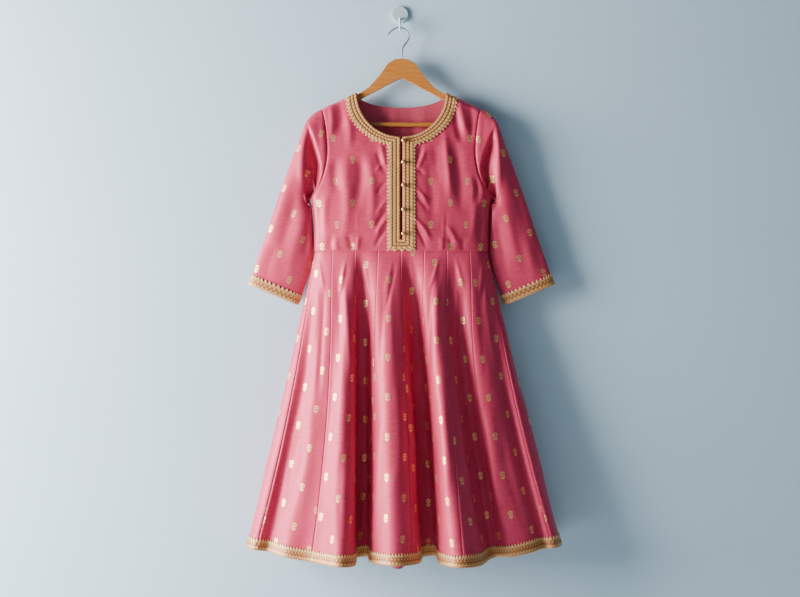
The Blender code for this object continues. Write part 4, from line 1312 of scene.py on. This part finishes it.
@dataclass
class Laces:
    """The four gold laces, sewn on."""

    zari: Material
    bodice: Bodice
    sleeves: tuple
    skirt: Skirt
    lift: float = 0.0012
    thickness: float = 0.0010

    def make(self, name: str, points: Array, u: Array, v: Array,
             tone: Array) -> Object:
        """Makes one lace from its points, with their places along and across it in mm."""
        sheet = Sheet(f"{name}_braid", [self.zari], self.thickness)
        sheet.add_grid(points, np.stack([u, v], 2) * MM, tone)
        return sheet.finish("zari_lace", name)

    def neck(self) -> None:
        """The lace along the neck, down the slit, across its foot and back up."""
        lace = PlaitedLace()
        turns = np.radians(np.linspace(1.5, 76, 26))
        wide, deep, slit, foot = 0.133, 0.1335, 0.0315, -0.5805
        arcs = [
            np.stack([-x * np.cos(turns), NECK_Z - z * np.sin(turns)], 1)
            for x, z in ((NECK_X, FRONT_NECK_DROP), (wide, deep))
        ]
        arcs[1][:, 1] -= 0.0115 * np.cos(turns) ** 4
        corner = NECK_Z - deep * math.sqrt(1 - (slit / wide) ** 2)
        corners = (
            [(-self.bodice.slit_x, NECK_Z - FRONT_NECK_DROP), (-self.bodice.slit_x, -0.556)],
            [(-slit, corner), (-slit, foot)],
        )
        left = np.stack([np.concatenate(part) for part in zip(arcs, corners)])
        path = np.concatenate([left, (left * np.array([-1.0, 1.0]))[:, ::-1]], axis=1)
        fine = []
        for before, after in zip(path.swapaxes(0, 1), path.swapaxes(0, 1)[1:]):
            count = max(2, round(np.linalg.norm(after[1] - before[1]) / 0.0012))
            share = (np.arange(count) / count)[:, None, None]
            fine.append(before * (1 - share) + after * share)
        inner, outer = np.concatenate([*fine, path[:, -1:].swapaxes(0, 1)]).swapaxes(0, 1)
        across = np.linspace(0, lace.width, 27)[:, None]
        share = (across / lace.width)[..., None]
        flat = outer * (1 - share) + inner * share
        # One mean length for all rows keeps the stitches square across the lace at its corners
        steps = np.linalg.norm(np.diff(flat, axis=1), axis=2).mean(axis=0)
        u = np.concatenate([[0], np.cumsum(steps)]) / MM + 0 * across
        v = across + 0 * u
        outwards = outer - inner
        outwards /= np.linalg.norm(outwards, axis=1, keepdims=True)
        flat = flat + outwards[None] * (lace.scalloped(u, v) * MM)[..., None]
        x, z = flat[..., 0], flat[..., 1]
        relief, tone = lace.weave(u, v)
        cloth = self.bodice.height(x, z, Facing.FRONT)
        height = np.maximum(cloth, cloth * 0.6) + self.lift + self.thickness + relief
        normal = body_normal(np.abs(x), z, Facing.FRONT, np.sign(x))
        points = np.stack([GOWN_X + x, body_y(x, z, Facing.FRONT), z], -1) + normal * height[..., None]
        piece = self.make("neck_placket_lace", points, u, v, tone)

    def lay(self, lace: ToothedLace, name: str, grid: Array, normal: Array,
            height: Array | float, places: Array) -> Object:
        """Lays a toothed lace on cloth.

        Args:
            lace: The lace.
            name: The solid that it stands for.
            grid: The cloth's points, rows from the lace's teeth to its edge.
            normal: The cloth's outward normals.
            height: How far the cloth stands out from the points.
            places: How far along the lace each column is, in mm.

        Returns:
            The finished object.
        """
        v = np.linspace(0, lace.width, len(grid))[:, None] + 0 * places
        u = places + 0 * v
        moved = lace.toothed(u, v) / lace.width * (len(grid) - 1)
        low = np.clip(np.floor(moved).astype(int), 0, len(grid) - 2)
        part = (moved - low)[..., None]
        index = np.arange(len(places))[None, :]
        relief, tone = lace.weave(u, v)
        lift = height + self.lift + self.thickness + relief
        points = grid[low, index] * (1 - part) + grid[low + 1, index] * part + normal * lift[..., None]
        return self.make(name, points[::-1], u[::-1], v[::-1], tone[::-1])

    def cuffs(self) -> None:
        """The lace round each sleeve's hem."""
        lace = ToothedLace(width=26.5, tooth=7.4)
        around, across = np.linspace(0, 1, 261), np.linspace(0, 1, 24)
        for sleeve in self.sleeves:
            word = sleeve.side.name.lower()
            grid = sleeve.surface(around, sleeve.cuff_start + (1 - sleeve.cuff_start) * across)[0]
            piece = self.lay(lace, f"cuff_lace_{word}", grid[::-1], grid_normals(grid)[::-1], 0.0,
                             (around * 272)[::-sleeve.side.value])

    def hem(self) -> None:
        """The lace round the skirt's hem."""
        lace = ToothedLace(width=29.0)
        places = np.linspace(0, 2, 1761)
        levels = 1 - (lace.width - np.linspace(0, lace.width, 21)) * MM / self.skirt.length
        grid, normal, height, _ = self.skirt.surface(places, levels)
        piece = self.lay(lace, "hem_lace", grid, normal, np.maximum(height, -0.0004),
                         places / 2 * lengths(grid[-1])[-1] / MM)

    def build(self) -> None:
        """Makes all four."""
        self.neck()
        self.cuffs()
        self.hem()


@dataclass
class Buttons:
    """Five gilt ball buttons in a line beside the slit, just clear of the lace."""

    gold: Material
    radius: float = 0.0052
    x: float = 0.0048
    clear: float = 0.0031
    heights: tuple = (-0.3165, -0.3695, -0.4255, -0.484, -0.542)

    def build(self) -> None:
        """Makes each ball."""
        for order, height in enumerate(self.heights, start=1):
            face = float(body_y(np.array([self.x]), np.array([height]), Facing.FRONT)[0])
            mesh = bmesh.new()
            ball = bmesh.ops.create_uvsphere(mesh, u_segments=28, v_segments=18, radius=self.radius)
            bmesh.ops.translate(mesh, verts=ball["verts"],
                                vec=(GOWN_X + self.x, face - self.clear - self.radius, height))
            piece = new_object(f"ball_button_{order}", mesh, [self.gold])
            put_in_frame(piece, f"button_{order}")


@dataclass
class Hardware:
    """The hanger and the wall hook, which keep their solids and get their finishes."""

    nodes: dict
    finishes: dict

    def dress(self) -> None:
        """Gives each solid its material."""
        for name, material in self.finishes.items():
            for slot in self.nodes[name].material_slots:
                slot.material = material
            log.info("%s dressed", name)


@dataclass
class Studio:
    """The plain wall and floor, the soft daylight from the left, and the camera."""

    wall_y: float = 0.0015
    floor_z: float = -1.9
    top_z: float = 3.0
    half_width: float = 5.0
    floor_y: float = -6.0

    def planes(self) -> None:
        """The painted wall behind the hook, and the floor below."""
        wall, floor = (self.wall_y, self.floor_z), (self.floor_y, self.floor_z)
        for name, finish, near, far in (
            ("wall", PaintedPlaster("painted plaster wall", "#C6E2F3", "#BDDAEC"),
             wall, (self.wall_y, self.top_z)),
            ("floor", PaintedPlaster("pale floor", "#CCD3D4", "#C4CCCE"), floor, wall),
        ):
            mesh = bmesh.new()
            verts = bmesh.ops.create_grid(mesh, x_segments=1, y_segments=1, size=1)["verts"]
            for vert in verts:
                vert.co = (self.half_width * vert.co.x, *(near if vert.co.y < 0 else far))
            new_object(name, mesh, [finish.material()])

    def place(self, name: str, data: ID, spot: tuple, turn: tuple) -> Object:
        """Puts a light or a camera in the scene."""
        holder = bpy.data.objects.new(name, data)
        holder.location = spot
        holder.rotation_euler = turn
        bpy.context.scene.collection.objects.link(holder)
        return holder

    def light(self, name: str, spot: tuple, aim: tuple, size: float, power: float, colour: str) -> None:
        """Adds a square soft light.

        Args:
            name: The light's name.
            spot: Where it is.
            aim: What it is turned towards.
            size: Its side, in metres.
            power: In watts.
            colour: Its hex colour.
        """
        lamp = bpy.data.lights.new(name, "AREA")
        lamp.size = size
        lamp.energy = power
        lamp.color = linear(colour)[:3]
        x, y, z = np.array(aim) - np.array(spot)
        self.place(name, lamp, spot, (
            math.atan2(math.hypot(x, y), -z), 0, math.atan2(y, x) - math.pi / 2))

    def build(self) -> None:
        """Sets up the whole studio."""
        self.planes()
        self.light("window", (-2.45, -0.82, -0.5), (0.1, 0, -0.75), 1.5, 275, "#FFFBF8")
        self.light("room", (1.2, -3.6, 0.6), (0, 0, -0.7), 2.6, 4, "#E6F0FF")
        self.light("behind", (0.9, 2.6, 0.3), (0, 0, -0.7), 2.2, 85, "#F0F4FF")
        world = bpy.data.worlds.new("daylight")
        world.use_nodes = True
        tree = world.node_tree
        set_inputs(tree, tree.nodes["Background"], {"Color": linear("#C9D9E6"), "Strength": 0.18})
        bpy.context.scene.world = world
        camera = bpy.data.cameras.new("viewer")
        camera.lens = 50
        camera.sensor_width = 36
        bpy.context.scene.camera = self.place(
            "viewer", camera, (0, -2.73, -0.6966), (math.pi / 2, 0, 0))


def main() -> None:
    """Builds the gown's looks on its frame."""
    logging.basicConfig(level=logging.INFO, format="%(message)s")
    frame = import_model()
    Studio().build()
    # The lining gets a faint painted glow: emission in its deep colour
    lining = ArtSilk("art silk, plain inside", None, "#B03A50", "#CC5A6C", painted_glow=0.05).material()
    pattern = ButiPattern(0.047, 0.105, shift_x=0.0235, shift_z=0.415)
    bodice = Bodice(ArtSilk("art silk with butis, bodice", pattern).material(), lining)
    bodice.build()
    sleeves = tuple(
        Sleeve(side, ArtSilk(f"art silk with butis, {side.name.lower()} sleeve", pattern).material(),
               lining)
        for side, pattern in (
            (Side.LEFT, ButiPattern(0.0415, 0.1025, shift_x=-0.128, shift_z=0.396)),
            (Side.RIGHT, ButiPattern(0.045, 0.101, shift_x=-0.1197, shift_z=0.4065)),
        )
    )
    for sleeve in sleeves:
        sleeve.build()
    # For each panel: its butis' shift down, and how their columns shift sideways and lean
    starts = ((0.055, 0.013, -0.02), (0.069, -0.002, -0.095), (0.033, 0, 0), (0.069, 0, 0),
              (0.003, 0, 0), (0.028, 0.0048, 0.075), (0.075, 0.001, 0.08), (0.032, -0.025, 0))
    silks = {
        (facing, number): ArtSilk(
            f"art silk with butis, {facing.value} panel {number + 1}",
            ButiPattern(0.045, 0.0925, sideways, down, lean)).material()
        for facing in Facing for number, (down, sideways, lean) in enumerate(starts)
    }
    skirt = Skirt(silks, lining)
    skirt.build()
    Laces(ZariLace().material(), bodice, sleeves, skirt).build()
    Buttons(DrawnMetal("gilt brass, tumbled", "#F2C98A", "#D6A362", 0.34, 0.8).material()).build()
    beech = VarnishedBeech().material()
    steel = DrawnMetal("polished steel wire", "#E4E8E9", "#CCD2D4", 0.3).material()
    plate = DrawnMetal("pale enamelled steel", "#C6D6DB", "#BACCD2", 0.4, 0.1).material()
    Hardware(frame["nodes"], {
        "hanger_arms": beech, "hanger_bar": beech, "hanger_hook": steel,
        "wall_plate": plate, "wall_peg": plate,
    }).dress()


if __name__ == "__main__":
    main()
